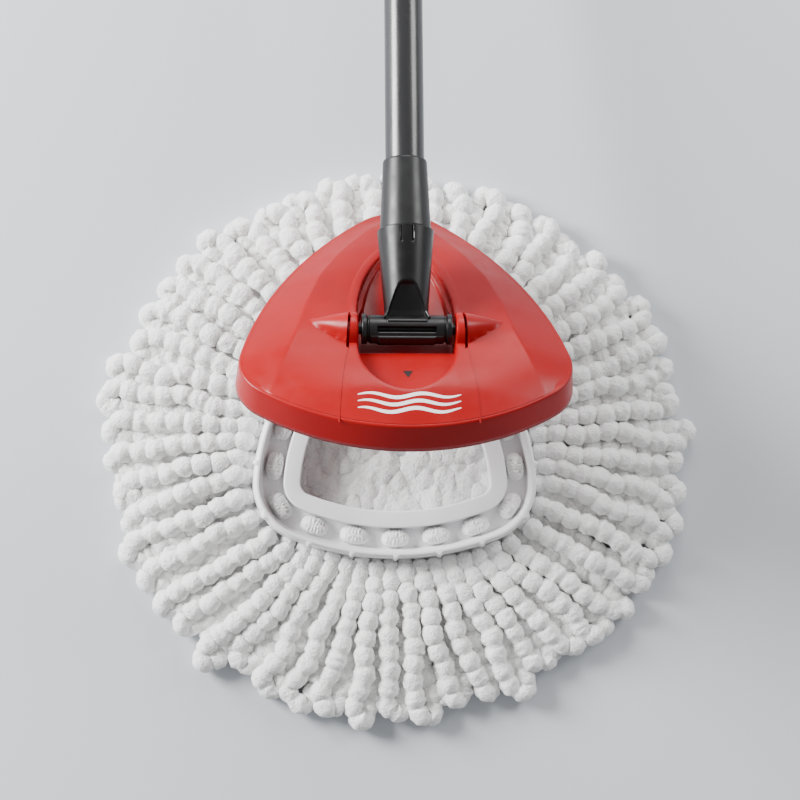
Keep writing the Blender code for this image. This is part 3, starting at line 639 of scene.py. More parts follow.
@dataclass
class RefillRing:
    """The white ring: a sloped rim with a nub beside each tuft, a channel and an inner band."""

    columns: int = 720
    nub_height: float = 1.9 * MM
    nub_width: float = 3.0 * MM
    rear_nub: float = 0.25        # the nubs are lower at the back, where the base's skirt comes close
    rear_from: float = 22.0 * MM
    rear_to: float = 36.0 * MM
    mean_radius: float = 80.0 * MM

    def profile(self) -> list[tuple[float, float]]:
        """Return the ring's section as (offset from the edge, height)."""
        channel = -(RIM_WIDTH + CHANNEL_WIDTH)
        opening = channel - BAND_WIDTH
        corners = [
            (0.0, 12.0, 0.3), (-1.2, 26.6, 0.8), (-2.0, 27.2, 0.5), (-2.3, 30.0, 0.7), (-4.4, 30.0, 0.8),
            (-6.5, 17.5, 0.6), (channel / MM, 17.5, 0.6), (channel / MM - 0.4, 26.5, 0.9),
            (opening / MM, 26.5, 1.1), (opening / MM, 14.5, 0.4), (opening / MM + 2.0, 14.5, 0.4),
            (opening / MM + 2.0, 24.0, 0.4), (channel / MM - 2.4, 24.0, 0.4), (channel / MM - 2.4, 14.5, 0.4),
            (-3.0, 14.5, 0.4), (-2.2, 12.0, 0.3),
        ]
        return closed_profile(in_metres(corners))

    def build(self) -> None:
        """Sweep the section round the outline and put the nubs on its outer wall."""
        offsets, heights = np.array(self.profile()).T
        fraction = np.arange(self.columns) / self.columns
        perimeter = 2.0 * np.pi * self.mean_radius
        away = (np.mod(fraction * TUFTS + 0.5, 1.0) - 0.5) / TUFTS * perimeter
        rear = smooth_step(self.rear_from, self.rear_to, RING.locate(fraction)[:, 1])
        full = np.exp(-(away / (self.nub_width / 2.0)) ** 4) * self.nub_height
        nub = full * (1.0 - rear * (1.0 - self.rear_nub))
        wall = smooth_step(-4.6 * MM, -1.6 * MM, offsets) * smooth_step(12.2 * MM, 13.5 * MM, heights)
        moved = offsets[:, None] + nub[None, :] * wall[:, None]
        across = np.broadcast_to(fraction, moved.shape)
        place = RING.locate(across, moved, CHANNEL_LINE)
        grid = np.concatenate([place, np.broadcast_to(heights[:, None, None], (*moved.shape, 1))], axis=-1)
        surface = Surface.of(grid)
        place_piece(build_object("mop_ring", surface, WHITE_PP), Body.REFILL, ["refill_ring"])


def waves(points: Array, wavelength: float, seed: int, count: int = 14) -> Array:
    """Return smooth noise of about unit size: the mean of sine waves in random directions."""
    chance = np.random.default_rng(seed)
    heading = unit(chance.normal(size=(count, 3)))
    number = 2.0 * np.pi / (wavelength * chance.uniform(0.7, 1.5, count))
    phase = chance.uniform(0.0, 2.0 * np.pi, count)
    return np.sin(points @ (heading * number[:, None]).T + phase).sum(axis=-1) / math.sqrt(count / 2.0) / 1.6


def smooth_path(stations: Array, step: float) -> Array:
    """Return points at even steps along a Catmull-Rom curve through stations (x, y, z, thickness)."""
    ends = np.concatenate([2.0 * stations[:1] - stations[1:2], stations,
                           2.0 * stations[-1:] - stations[-2:-1]])
    t = np.linspace(0.0, 1.0, 12, endpoint=False)[None, :, None]
    a, b, c, d = (ends[k:len(ends) - 3 + k, None, :] for k in range(4))
    curve = 0.5 * (2.0 * b + (c - a) * t + (2.0 * a - 5.0 * b + 4.0 * c - d) * t**2
                   + (3.0 * b - a - 3.0 * c + d) * t**3)
    dense = np.concatenate([curve.reshape(-1, stations.shape[1]), stations[-1:]])
    run = travelled(dense[:, :3])
    return resampled(dense, run, np.linspace(0.0, run[-1], max(int(run[-1] / step), 8)))


@dataclass(frozen=True)
class BeadedYarn:
    """A looped microfibre yarn that looks like a string of soft beads."""

    radius: float = 6.3 * MM
    pitch: float = 10.5 * MM
    waist: float = 0.50           # how much of the squared radius is lost between beads
    around: int = 20
    rings_per_bead: int = 12
    crook: float = 0.35 * MM      # how far a bead sits off the yarn's line
    lump: float = 4.6 * MM
    fine_lump: float = 2.1 * MM
    fuzz: float = 0.46 * MM
    fine_fuzz: float = 0.34       # the finest lumps' part of that

    def grid(self, stations: Array, plane: Array, seed: int, shade: float) -> tuple[Array, Array]:
        """Return a yarn's surface and its hollow marks.

        Args:
            stations: (x, y, z, thickness) that the yarn passes.
            plane: a direction square to the plane that the yarn bends in.
            seed: start of its random beads.
            shade: painted shade that greys the yarn as a whole, 0 to 1.

        Returns:
            A grid of rings by points round, and painted shade marks of the same shape, darkest between beads.
            The radius at u of a bead is radius sqrt(1 - waist |2u - 1|^2.3) times the bead's own size.
        """
        path = smooth_path(stations, self.pitch / self.rings_per_bead)
        centre, thickness = path[:, :3], path[:, 3]
        chance = np.random.default_rng(seed)
        count = len(centre)
        travel = np.arange(count) / self.rings_per_bead + chance.uniform()
        bead = travel.astype(int)
        inside = np.abs(2.0 * (travel - bead) - 1.0)
        size = chance.uniform(0.92, 1.07, bead.max() + 2)
        shift = chance.normal(0.0, self.crook, (bead.max() + 2, 3))
        centre = centre + shift[bead] * (1.0 - inside[:, None] ** 2) * thickness[:, None]
        radius = self.radius * thickness * np.sqrt(1.0 - self.waist * inside**2.3) * size[bead]
        ends = np.minimum(np.arange(count), np.arange(count)[::-1]) / (0.45 * self.rings_per_bead)
        radius = radius * np.sqrt(np.clip(1.0 - (1.0 - np.minimum(ends, 1.0)) ** 2, 0.0, 1.0))
        tangent = unit(np.gradient(centre, axis=0))
        normal = unit(np.cross(np.broadcast_to(plane, tangent.shape), tangent))
        side = np.cross(tangent, normal)
        turn = circle(self.around) + chance.uniform(0.0, 6.0)
        ring = normal[:, None] * np.cos(turn)[None, :, None] + side[:, None] * np.sin(turn)[None, :, None]
        surface = centre[:, None] + ring * radius[:, None, None]
        fine = waves(surface, self.fine_lump, seed + 2) * self.fine_fuzz
        rough = waves(surface, self.lump, seed + 1) + fine
        rough = (rough + chance.normal(0.0, 0.09, surface.shape[:2])) * self.fuzz
        surface = surface + ring * (rough * np.minimum(radius / self.radius, 1.0)[:, None])[..., None]
        surface[..., 2] = np.maximum(surface[..., 2], ON_FLOOR)
        # painted shade: darker between the beads, and over the whole yarn by shade
        marks = np.broadcast_to((inside**4 * 0.75 + shade)[:, None], surface.shape[:2])
        return surface, marks


@dataclass
class MopDisc:
    """The spread strands: in each bundle three loops on two layers, short fillers and the bundle's tuft."""

    radius_x: float = 176.5 * MM
    radius_y: float = 166.5 * MM
    centre_y: float = 6.0 * MM
    loops: int = 3
    fillers: int = 6
    tuft_half_length: float = 8.5 * MM
    tuft_half_width: float = 5.3 * MM
    tuft_foot: float = 15.5 * MM            # heights of its closed underside, its walls' foot and its rise
    tuft_base: float = 16.4 * MM
    tuft_rise: float = 8.4 * MM
    pleat_pitch: float = 1.9 * MM
    yarn: BeadedYarn = BeadedYarn()

    def edge(self, fraction: float, reach: float) -> Array:
        """Return the point on the disc's edge, moved out by a reach, at a fraction of a turn."""
        turn = 2.0 * math.pi * fraction - math.pi / 2.0
        outward = np.array((math.cos(turn), math.sin(turn)))
        return np.array((0.0, self.centre_y)) + outward * (np.array((self.radius_x, self.radius_y)) + reach)

    def leg(self, fraction: float, reach: float, root: Sequence[tuple[float, float, float]],
            run: Sequence[tuple[float, float]], chance: np.random.Generator) -> Array:
        """Return the stations of a strand from under the ring to near its tip.

        Args:
            fraction: its place round the ring.
            reach: how far its tip passes the disc's edge.
            root: (offset from the ring's edge, height, thickness) under and beside the rim.
            run: (part of the way from the ring to the tip, height).
            chance: source of its sideways wander.

        Returns:
            Stations as (x, y, z, thickness).
        """
        start = RING.locate(np.array(fraction), 10.0 * MM, CHANNEL_LINE)
        tip = self.edge(fraction, reach)
        across = np.array((-(tip - start)[1], (tip - start)[0])) / np.linalg.norm(tip - start)
        stations = [(*RING.locate(np.array(fraction), offset, CHANNEL_LINE), height, thick)
                    for offset, height, thick in root]
        for part, height in run:
            wander = chance.normal(0.0, 1.5 * MM) * min(1.0, part * 2.0)
            point = start + (tip - start) * part + across * wander
            stations.append((*point, height + chance.normal(0.0, 0.4 * MM), 1.0))
        return np.array(stations)

    def loop(self, fraction: float, partner: float, reach: float, seed: int) -> tuple[Array, Array]:
        """Return one looped yarn: out along a fraction on the top layer, back along its partner below."""
        chance = np.random.default_rng(seed)
        upper = self.leg(fraction, reach, (
            (-12.5 * MM, 8.6 * MM, 0.55), (-4.0 * MM, 8.2 * MM, 0.62), (3.0 * MM, 9.4 * MM, 0.9)),
            ((0.0, 13.2 * MM), (0.25, 15.0 * MM), (0.5, 14.4 * MM), (0.72, 12.2 * MM), (0.93, 8.6 * MM)),
            chance)
        lower = self.leg(partner, reach * 0.7, (
            (-12.5 * MM, 3.4 * MM, 0.55), (-4.0 * MM, 3.4 * MM, 0.6), (3.0 * MM, 4.4 * MM, 0.85)),
            ((0.0, 5.4 * MM), (0.3, 5.6 * MM), (0.6, 5.4 * MM), (0.93, 5.4 * MM)), chance)
        middle = (self.edge(fraction, reach) + self.edge(partner, reach)) / 2.0
        bend = np.array([(*middle, 7.0 * MM, 1.04)])
        outward = np.array((*(middle - np.array((0.0, self.centre_y))), 0.0))
        across = np.array((*(self.edge(partner, 0.0) - self.edge(fraction, 0.0)), -3.0 * MM))
        plane = np.cross(outward, across)
        stations = np.concatenate([upper, bend, lower[::-1]])
        return self.yarn.grid(stations, plane / np.linalg.norm(plane), seed, 0.0)

    def filler(self, fraction: float, reach: float, seed: int) -> tuple[Array, Array]:
        """Return a yarn that lies on the floor between the loops."""
        chance = np.random.default_rng(seed)
        stations = self.leg(fraction, reach, ((4.0 * MM, 4.0 * MM, 0.7),),
                            ((0.1, 6.4 * MM), (0.4, 7.4 * MM), (0.7, 6.6 * MM), (0.96, 5.0 * MM)), chance)
        # painted shade: the fillers lie under the loops and are greyed by 0.25
        return self.yarn.grid(stations, np.array((0.0, 0.0, 1.0)), seed, 0.25)

    def tuft(self, fraction: float, seed: int) -> tuple[Array, Array]:
        """Return the lump of yarn that stands in the channel: ridged across, round on top, closed below."""
        nearby = 0.004
        middle, ahead, behind = (RING.locate(np.array(fraction + step), CHANNEL_LINE, CHANNEL_LINE)
                                 for step in (0.0, nearby, -nearby))
        along = (ahead - behind) / np.linalg.norm(ahead - behind)
        across = np.array((-along[1], along[0]))
        chance = np.random.default_rng(seed)
        half_length, half_width = self.tuft_half_length * chance.uniform(0.96, 1.04), self.tuft_half_width
        turn = circle(64)
        rise = np.concatenate([[-1.0, -1.0], np.linspace(0.0, 1.0, 15)]) * np.pi / 2.0
        spread = np.concatenate([[0.0, 0.88], np.cos(rise[2:]) ** 0.62])
        crown = self.tuft_base + self.tuft_rise * np.sin(rise[2:]) ** 0.8
        height = np.concatenate([[self.tuft_foot, self.tuft_foot], crown])
        power = 2.6                         # between an ellipse, 2, and a rectangle
        squared = (np.abs(np.cos(turn)) ** power + np.abs(np.sin(turn)) ** power) ** (-1.0 / power)
        u = spread[:, None] * (squared * np.cos(turn) * half_length)[None, :]
        v = spread[:, None] * (squared * np.sin(turn) * half_width)[None, :]
        lift = (height[:, None] > 16.0 * MM) * np.ones_like(u)
        bend = waves(np.stack([u, v, np.zeros_like(u)], -1), 6.0 * MM, seed) * 1.2
        pleat = np.sin(u / self.pleat_pitch * 2.0 * np.pi + bend)
        swell = 1.0 + 0.045 * pleat * lift
        z = height[:, None] + 0.38 * MM * pleat * lift * np.sin(np.maximum(rise, 0.0))[:, None]
        flat = middle + (u * (1.0 + 0.02 * lift))[..., None] * along + (v * swell)[..., None] * across
        points = np.concatenate([flat, z[..., None]], axis=-1)
        points[..., 2] += waves(points, 2.6 * MM, seed + 5) * 0.22 * MM * lift
        # painted shade: the marks are darker in the grooves between the pleats
        return points, 0.22 - 0.22 * pleat

    def build(self) -> None:
        """Build each bundle's loops, fillers and tuft as one piece."""
        chance = np.random.default_rng(11)
        strands = 2 * self.loops
        for index in range(TUFTS):
            surface = Surface()
            common = chance.normal(0.0, 2.4 * MM)
            for number in range(self.loops):
                seed = 100 * index + 10 * number
                place = (number * 2 - strands / 2.0 + 0.5) / strands + chance.normal(0.0, 0.012)
                reach = float(np.clip(common + chance.normal(-5.5 * MM, 3.0 * MM), -12.0 * MM, 2.0 * MM))
                partner = place + (1.0 + chance.normal(0.0, 0.06)) / strands
                grid, marks = self.loop((index + place) / TUFTS, (index + partner) / TUFTS, reach, seed)
                surface.add_grid(grid, marks)
            for number in range(self.fillers):
                place = (number + 0.5) / self.fillers - 0.5 + chance.normal(0.0, 0.03)
                reach = -6.0 * MM + chance.normal(0.0, 3.5 * MM)
                grid, marks = self.filler((index + place) / TUFTS, reach, 5000 + 10 * index + number)
                surface.add_grid(grid, marks)
            points, marks = self.tuft(index / TUFTS, 9000 + 10 * index)
            surface.add_grid(points, marks)
            piece = build_object(f"yarn_bundle_{index + 1:02d}", surface, YARN, sharp=80.0)
            place_piece(piece, Body.REFILL, [f"strand_bundle_{index + 1:02d}"])


@dataclass
class InnerYarn:
    """The loops' short inner ends: soft lumps in the ring's opening, thinning out in the middle."""

    spacing: float = 8.4 * MM
    bare_x: float = 19.0 * MM
    bare_y: float = 21.0 * MM
    bare_centre: float = 14.0 * MM
    jitter: float = 1.2 * MM
    least: float = 7.6                      # mm, a lump's half width
    most: float = 12.5
    flatness: float = 0.55
    tallest: float = 14.0 * MM

    def build(self) -> None:
        """Place the lumps on a jittered grid; keep those inside the opening, outside its bare middle."""
        chance = np.random.default_rng(41)
        row_gap = 0.866                     # of the spacing, between the rows of even triangles
        x, y = np.meshgrid(np.arange(-9, 10) * self.spacing, np.arange(-8, 12) * self.spacing * row_gap,
                           indexing="ij")
        x = x + np.where(np.arange(y.shape[1]) % 2, 0.5, 0.0)[None, :] * self.spacing
        x = (x + chance.normal(0.0, self.jitter, x.shape)).ravel()
        y = (y + chance.normal(0.0, self.jitter, y.shape)).ravel()
        opening = RIM_WIDTH + CHANNEL_WIDTH + BAND_WIDTH
        kept = (RING.depth(x, y) > opening - 2.5 * MM) & (
            (x / self.bare_x) ** 2 + ((y - self.bare_centre) / self.bare_y) ** 2 > 1.0)
        x, y = x[kept], y[kept]
        count = len(x)
        rim = np.clip((RING.depth(x, y) - opening) / (14.0 * MM), 0.0, 1.0)
        size = chance.uniform(self.least, self.most, (count, 3)) * MM * np.array((1.0, 1.0, self.flatness))
        centre = np.stack([x, y, 5.6 * MM + 1.2 * MM * chance.uniform(size=count) - 1.4 * MM * rim], axis=-1)
        polar = np.linspace(0.0, np.pi, 21)
        turn = circle(36)
        ball = np.stack([np.sin(polar)[:, None] * np.cos(turn), np.sin(polar)[:, None] * np.sin(turn),
                         np.repeat(np.cos(polar)[:, None], len(turn), axis=1)], axis=-1)
        lumps = centre[:, None, None] + ball[None] * size[:, None, None]
        rough = waves(lumps, 8.0 * MM, 3) * 1.3 * MM + waves(lumps, 2.4 * MM, 4) * 0.45 * MM
        lumps = lumps + ball[None] * rough[..., None] * np.sin(polar)[None, :, None, None]
        lumps[..., 2] = np.clip(lumps[..., 2], ON_FLOOR, self.tallest)
        surface = Surface()
        for lump in lumps:
            # painted shade: every lump is greyed by 0.3
            surface.add_grid(lump[::-1], 0.3)
        place_piece(build_object("inner_yarn", surface, INNER_YARN_IN_SHADE, sharp=80.0), Body.REFILL,
                    ["strand_centre"])


# ------------------------------------------------------------------ base

def curve_through(points: Sequence[tuple[float, float]]) -> Curve:
    """Return a smooth function through (value, height) points in millimetres, with eased corners."""
    value, height = np.array([(where * MM, high * MM) for where, high in points]).T
    shifts = np.linspace(-1.0, 1.0, 7) * 4.0 * MM

    def height_at(where: Array) -> Array:
        """Return the mean of the straight parts' heights over 4 mm to each side."""
        total = np.zeros_like(np.asarray(where, float))
        for shift in shifts:
            total = total + np.interp(where + shift, value, height)
        return total / len(shifts)

    return height_at


@dataclass
class BaseShape:
    """The heights of the base over its rim's plane, as functions of X and Y in the base's frame."""

    hinge_y: float = HINGE_IN_BASE[0]
    hinge_z: float = HINGE_IN_BASE[1]
    pit_front: float = -17.5 * MM
    pit_back: float = 4.5 * MM
    recess_half: float = 27.2 * MM
    recess_front: float = 32.0 * MM         # how far the recess reaches in front of its pit, and behind it
    recess_rear: float = 57.0 * MM
    corner_y: float = -47.7 * MM            # where the side creases leave the rim
    rim_round: float = 1.5 * MM
    hump_radius: float = 9.2 * MM
    hump_tip_x: float = 57.5 * MM
    hump_start_x: float = 32.0 * MM
    least_width: float = 0.5 * MM           # kept from zero where widths are divided by

    def __post_init__(self) -> None:
        """Work out the curves of the creases, the ridge and the front slope, and the rim's half width."""
        self.crease_x = curve_through([
            (-47.7, 76.6), (-30.0, 69.5), (-6.2, 60.4), (18.0, 54.2), (40.7, 46.5), (62.0, 34.5),
            (84.3, 17.9), (94.0, 9.0), (101.0, 1.0)])
        self.crease_z = curve_through([
            (-47.7, 0.4), (-36.0, 4.8), (-20.0, 8.6), (-6.2, 10.2), (18.0, 10.4), (40.7, 9.2), (62.0, 7.2),
            (84.3, 4.4), (101.0, 0.6)])
        self.ridge_z = curve_through([
            (-80.0, 11.2), (-40.0, 11.2), (10.0, 11.4), (45.0, 11.0), (64.0, 9.6), (84.3, 5.6), (101.0, 0.8)])
        self.front_z = curve_through([
            (-5.0, -2.0), (0.0, 0.2), (8.0, 4.4), (16.0, 8.0), (23.0, 10.4), (32.0, 12.6), (60.0, 17.0)])
        trial = np.linspace(0.10, 0.5, 3000)
        side = BASE.locate(trial, -self.rim_round)
        self.side_y, self.side_x = side[:, 1], side[:, 0]

    def side_at(self, y: Array) -> Array:
        """Return half the width of the top at a Y."""
        return np.interp(y, self.side_y, self.side_x)

    def front_depth(self, x: Array, y: Array) -> Array:
        """Return the distance inside the front arc: radius - |p - centre|."""
        return BASE.front_radius - self.rim_round - np.hypot(x, y - (BASE.front_radius - BASE.front))

    def skin(self, x: Array, y: Array) -> Array:
        """Return the domed top's height.

        Outside a crease the facet is straight from the rim to the crease. Between the creases it is
        ridge - (ridge - crease)(x / crease_x)^2, and in front it is the lower of that and the front slope.
        """
        reach, top = np.maximum(self.crease_x(y), self.least_width), self.crease_z(y)
        inner = self.ridge_z(y) - (self.ridge_z(y) - top) * np.minimum((np.abs(x) / reach) ** 2, 1.0)
        width = np.maximum(self.side_at(y) - reach, self.least_width)
        facet = top * np.clip((self.side_at(y) - np.abs(x)) / width, 0.0, 1.0)
        base = np.where(np.abs(x) > reach, facet, inner)
        return smooth_min(base, self.front_z(self.front_depth(x, y)), 2.2 * MM)

    def hump(self, x: Array, y: Array) -> Array:
        """Return a side hump's height: a cone along X, its back edge straight, its front edge slanting."""
        part = np.clip((np.abs(x) - self.hump_start_x) / (self.hump_tip_x - self.hump_start_x), 0.0, 1.0)
        radius = self.hump_radius * (1.0 - part**1.15)
        axis_y = self.hinge_y + self.hump_radius - radius
        away = np.abs((y - axis_y) / np.maximum(radius, 0.1 * MM))
        arch = np.sqrt(np.clip(1.0 - np.minimum(away, 1.0) ** 2.2, 0.0, 1.0))
        height = self.hinge_z - 2.6 * MM * part - 3.0 * MM * part**4 + radius * arch
        return np.where((away < 1.0) & (part < 0.995), height, -1.0)

    def top(self, x: Array, y: Array) -> Array:
        """Return the height of the skin and the humps together, filleted where they meet."""
        return -smooth_min(-self.skin(x, y), -self.hump(x, y), 1.6 * MM)

    def floor(self, y: Array) -> Array:
        """Return the recess's floor: front slope, step down to the pit, rear slope."""
        front = 3.9 * MM + (self.pit_front - y) / self.recess_front * 2.9 * MM
        pit = -1.0 * MM + smooth_step(-13.0 * MM, self.pit_front, y) * 3.4 * MM
        rear = (y - self.pit_back) / self.recess_rear * 8.4 * MM
        behind = np.where(y > self.pit_back + 0.8 * MM, rear, pit)
        return np.where(y < self.pit_front - 0.5 * MM, front, behind)


@dataclass
class MopBase:
    """The red base: skirt, facets, recess with cheeks and humps, slits, arrow, panel lines and print."""

    shape: BaseShape = field(default_factory=BaseShape)
    columns: int = 392
    wall: float = 1.9 * MM
    skirt: float = 18.0 * MM
    flare: float = 1.8 * MM
    edge_round: float = 1.1 * MM
    slit_depth: float = 7.0 * MM
    slit_front: float = -19.8 * MM          # where the slits beside the hinge start and end
    slit_back: float = 1.9 * MM
    lip_height: float = 0.35 * MM

    def recess(self) -> Array:
        """Return the recess's right half from front to rear, at even steps: D, straight cheek, arch."""
        shape = self.shape
        turn = np.linspace(0.0, np.pi / 2.0, 200)
        front = np.stack([shape.recess_half * np.sin(turn),
                          shape.pit_front - shape.recess_front * np.cos(turn)], axis=-1)
        arch = smooth_path(np.array([
            (27.2, -2.0, 0.0, 1.0), (27.1, 4.5, 0.0, 1.0), (26.0, 19.0, 0.0, 1.0), (21.8, 36.0, 0.0, 1.0),
            (14.0, 52.0, 0.0, 1.0), (6.0, 60.0, 0.0, 1.0), (0.0, 61.8, 0.0, 1.0)]) * MM, 0.4 * MM)[:, :2]
        whole = np.concatenate([front, arch])
        run = travelled(whole)
        return resampled(whole, run, np.linspace(0.0, run[-1], self.columns // 2 + 1))

    def rim_fractions(self, contour: Array) -> Array:
        """Return the fraction of the outline that the grid line from each point of the recess runs to."""
        shape = self.shape
        y = contour[:, 1]
        low, high = BASE.fraction_at(shape.pit_front), BASE.fraction_at(shape.pit_back)
        run = travelled(contour)
        start = float(np.interp(shape.pit_front, y, run))
        end = float(np.interp(shape.pit_back, y, run))
        return np.interp(run, [0.0, start, end, run[-1]], [0.0, low, high, 0.5])

    def half(self) -> Array:
        """Return the right half's rows from the skirt's foot to the recess's middle line.

        Rows hold points in the base's frame, columns run anticlockwise from the front's middle.
        """
        contour = self.recess()
        fraction = self.rim_fractions(contour)
        slope = unit(np.gradient(contour, axis=0))
        normal = np.stack([slope[:, 1], -slope[:, 0]], axis=-1)
        normal[0], normal[-1] = (0.0, -1.0), (0.0, 1.0)
        rows = self.skirt_rows(fraction)
        rows += self.facet_rows(contour, normal, BASE.locate(fraction, -self.shape.rim_round))
        rows += self.lip_rows(contour, normal)
        rows += self.recess_rows(contour, normal, rows[-1][:, 2])
        return np.stack(rows)

    def on_top(self, flat: Array) -> Array:
        """Return (x, y) points raised to the top's height."""
        return np.column_stack([flat, self.shape.top(flat[:, 0], flat[:, 1])])

    def slit_line(self, contour: Array) -> tuple[Array, Array]:
        """Return the slit's distance outside the recess, and a number that is 1 beside the hinge."""
        y = contour[:, 1]
        slit_x = np.interp(y, [self.slit_front, -3.7 * MM, self.slit_back], [32.2 * MM, 30.8 * MM, 29.4 * MM])
        beside = smooth_step(-24.0 * MM, -17.0 * MM, y) * (1.0 - smooth_step(3.0 * MM, 12.0 * MM, y))
        return 4.2 * MM * (1.0 - beside) + (slit_x - contour[:, 0]) * beside, beside

    def skirt_rows(self, fraction: Array) -> list[Array]:
        """Return the rows up the flared skirt and, in a quarter circle, over its rounded rim."""
        rim_round = self.shape.rim_round
        steps = [(self.flare * (1.0 - part), -self.skirt + (self.skirt - rim_round) * part)
                 for part in np.linspace(0.0, 1.0, 7)]
        steps += [(-rim_round * (1.0 - math.cos(turn)), -rim_round * (1.0 - math.sin(turn)))
                  for turn in np.linspace(0.0, np.pi / 2.0, 6)[1:]]
        return [np.column_stack([BASE.locate(fraction, offset), np.full(len(fraction), height)])
                for offset, height in steps]

    def crease_part(self, rim: Array, inner: Array) -> Array:
        """Return how much of the way from the rim to an inner line each grid line meets the crease.

        It is 0 where there is none, then smoothed over three neighbours and kept from 0.03 to 0.97.
        """
        t = np.linspace(0.0, 1.0, 400)
        line = rim[:, None] + (inner - rim)[:, None] * t[None, :, None]
        inside = np.abs(line[..., 0]) < self.shape.crease_x(line[..., 1])
        part = t[np.argmax(inside, axis=1)]
        part = np.where((rim[:, 1] < self.shape.corner_y) | (part <= 0.0), 0.0, part)
        part = np.convolve(np.pad(part, 1, mode="edge"), np.ones(3) / 3.0, mode="valid")
        return np.clip(part, 0.03, 0.97)

    def facet_rows(self, contour: Array, normal: Array, rim: Array) -> list[Array]:
        """Return the rows over the facet to its crease, and from there to just outside the slits."""
        slit_in, _ = self.slit_line(contour)
        wide = [contour + normal * (slit_in + 1.6 * MM + extra)[:, None] for extra in (3.6 * MM, 1.6 * MM)]
        crease = self.crease_part(rim, wide[0])
        parts = [crease * part for part in (0.08, 0.25, 0.45, 0.65, 0.82, 0.94, 1.0)]
        parts += [crease + (1.0 - crease) * part for part in np.linspace(0.0, 1.0, 24)[1:-1] ** 1.15]
        return [self.on_top(rim + (wide[0] - rim) * part[:, None]) for part in parts] + [
            self.on_top(flat) for flat in wide]

    def lip_rows(self, contour: Array, normal: Array) -> list[Array]:
        """Return the rows from outside the slits to the recess's edge.

        The edge drops by r - sqrt(r^2 - (r - step)^2). Two rows sink to make a slit, and behind the hinge
        the lip stands a little proud.
        """
        slit_in, beside = self.slit_line(contour)
        y, rounded = contour[:, 1], self.edge_round
        slit = (y > self.slit_front) & (y < self.slit_back)
        steps = [slit_in + 1.6 * MM, slit_in + 1.5 * MM, slit_in + 0.06 * MM, slit_in, slit_in * 0.65]
        steps += [np.full_like(slit_in, step) for step in (rounded, 0.4 * MM, 0.12 * MM, 0.0)]
        rows = []
        for number, step in enumerate(steps):
            groove = self.slit_depth * slit * (number in (1, 2))
            flat = contour + normal * step[:, None]
            short = np.clip(rounded - step, 0.0, rounded)
            drop = rounded - np.sqrt(np.clip(rounded**2 - short**2, 0.0, None))
            raised = self.lip_height * (1.0 - smooth_step(0.0, 0.6 * MM, step - slit_in)) * (1.0 - beside)
            raised = raised * smooth_step(2.0 * MM, 10.0 * MM, y)
            height = self.shape.top(flat[:, 0], flat[:, 1]) - drop + raised - groove
            rows.append(np.column_stack([flat, height]))
        return rows

    def recess_rows(self, contour: Array, normal: Array, lip: Array) -> list[Array]:
        """Return the rows down the recess's wall, over the ledge behind the hinge and across the floor.

        Args:
            contour: the recess's right half.
            normal: the directions outwards from it.
            lip: the heights of its edge.
        """
        y = contour[:, 1]
        ledge = smooth_step(7.0 * MM, 16.0 * MM, y) * (1.0 - smooth_step(54.0 * MM, 61.0 * MM, y))
        floor = np.minimum(self.shape.floor(y), lip - 0.5 * MM)
        ledge_z = lip - np.minimum(3.2 * MM, (lip - floor) * 0.5)
        rows = [np.column_stack([contour - normal * offset * MM, height]) for offset, height in (
            (0.1, lip * 0.6 + ledge_z * 0.4), (0.3, ledge_z), (0.5, ledge_z - 0.15 * MM))]
        for offset, part in ((2.6, 0.0), (2.9, 0.12), (3.2, 0.9), (3.4, 1.0)):
            flat = contour - normal * (0.5 * MM + (offset - 0.5) * MM * ledge + 0.25 * MM * part)[:, None]
            rows.append(np.column_stack([flat, (ledge_z - 0.2 * MM) * (1.0 - part) + floor * part]))
        edge = rows[-1][:, :2]
        rows += [np.column_stack([edge * np.array((scale, 1.0)), floor])
                 for scale in (0.97, 0.9, 0.8, 0.65, 0.5, 0.35, 0.18, 0.0)]
        return rows

    def shell(self) -> None:
        """Mirror the half and give the sheet its wall."""
        right = self.half()
        left = right[:, ::-1] * np.array((-1.0, 1.0, 1.0))
        surface = Surface.of(np.concatenate([right, left[:, 1:-1]], axis=1))
        piece = build_object("base_cover", surface.transformed(BASE_FRAME), RED_ABS, outward=False,
                             sharp=28.0)
        thick = piece.modifiers.new("wall", "SOLIDIFY")
        thick.thickness = self.wall
        thick.offset = -1.0
        thick.use_rim = True
        apply_modifiers(piece)
        place_piece(piece, Body.BASE, ["base_shell"])

    def locator(self) -> None:
        """Build the U-shaped wall under the base that finds the ring's opening."""
        outer = -(RIM_WIDTH + CHANNEL_WIDTH + BAND_WIDTH + 2.0 * MM)
        reach = RING.fraction_at(15.0 * MM)
        fraction = np.linspace(-reach, reach, 160)
        corners = [(0.0, -20.0, 0.5), (0.0, 7.4, 0.0), (-2.0, 7.4, 0.0), (-2.0, -20.0, 0.5)]
        section = closed_profile([(outer + x, z, rounding) for x, z, rounding in in_metres(corners)], 3)
        rows = []
        for offset, height in section:
            flat = RING.locate(fraction, offset, CHANNEL_LINE) + np.array((0.0, 1.0 * MM))
            level = np.full(len(flat), height)
            if height > 0.0:
                under_recess = np.abs(flat[:, 0]) < self.shape.recess_half + 2.0 * MM
                level = np.where(under_recess, 2.6 * MM, self.shape.top(flat[:, 0], flat[:, 1]) - 1.0 * MM)
            rows.append(np.concatenate([flat, level[:, None]], axis=-1))
        surface = Surface.of(capped(np.stack(rows, axis=1))[:, :-1])
        place_piece(build_object("base_locating_wall", surface.transformed(BASE_FRAME), RED_ABS), Body.BASE)

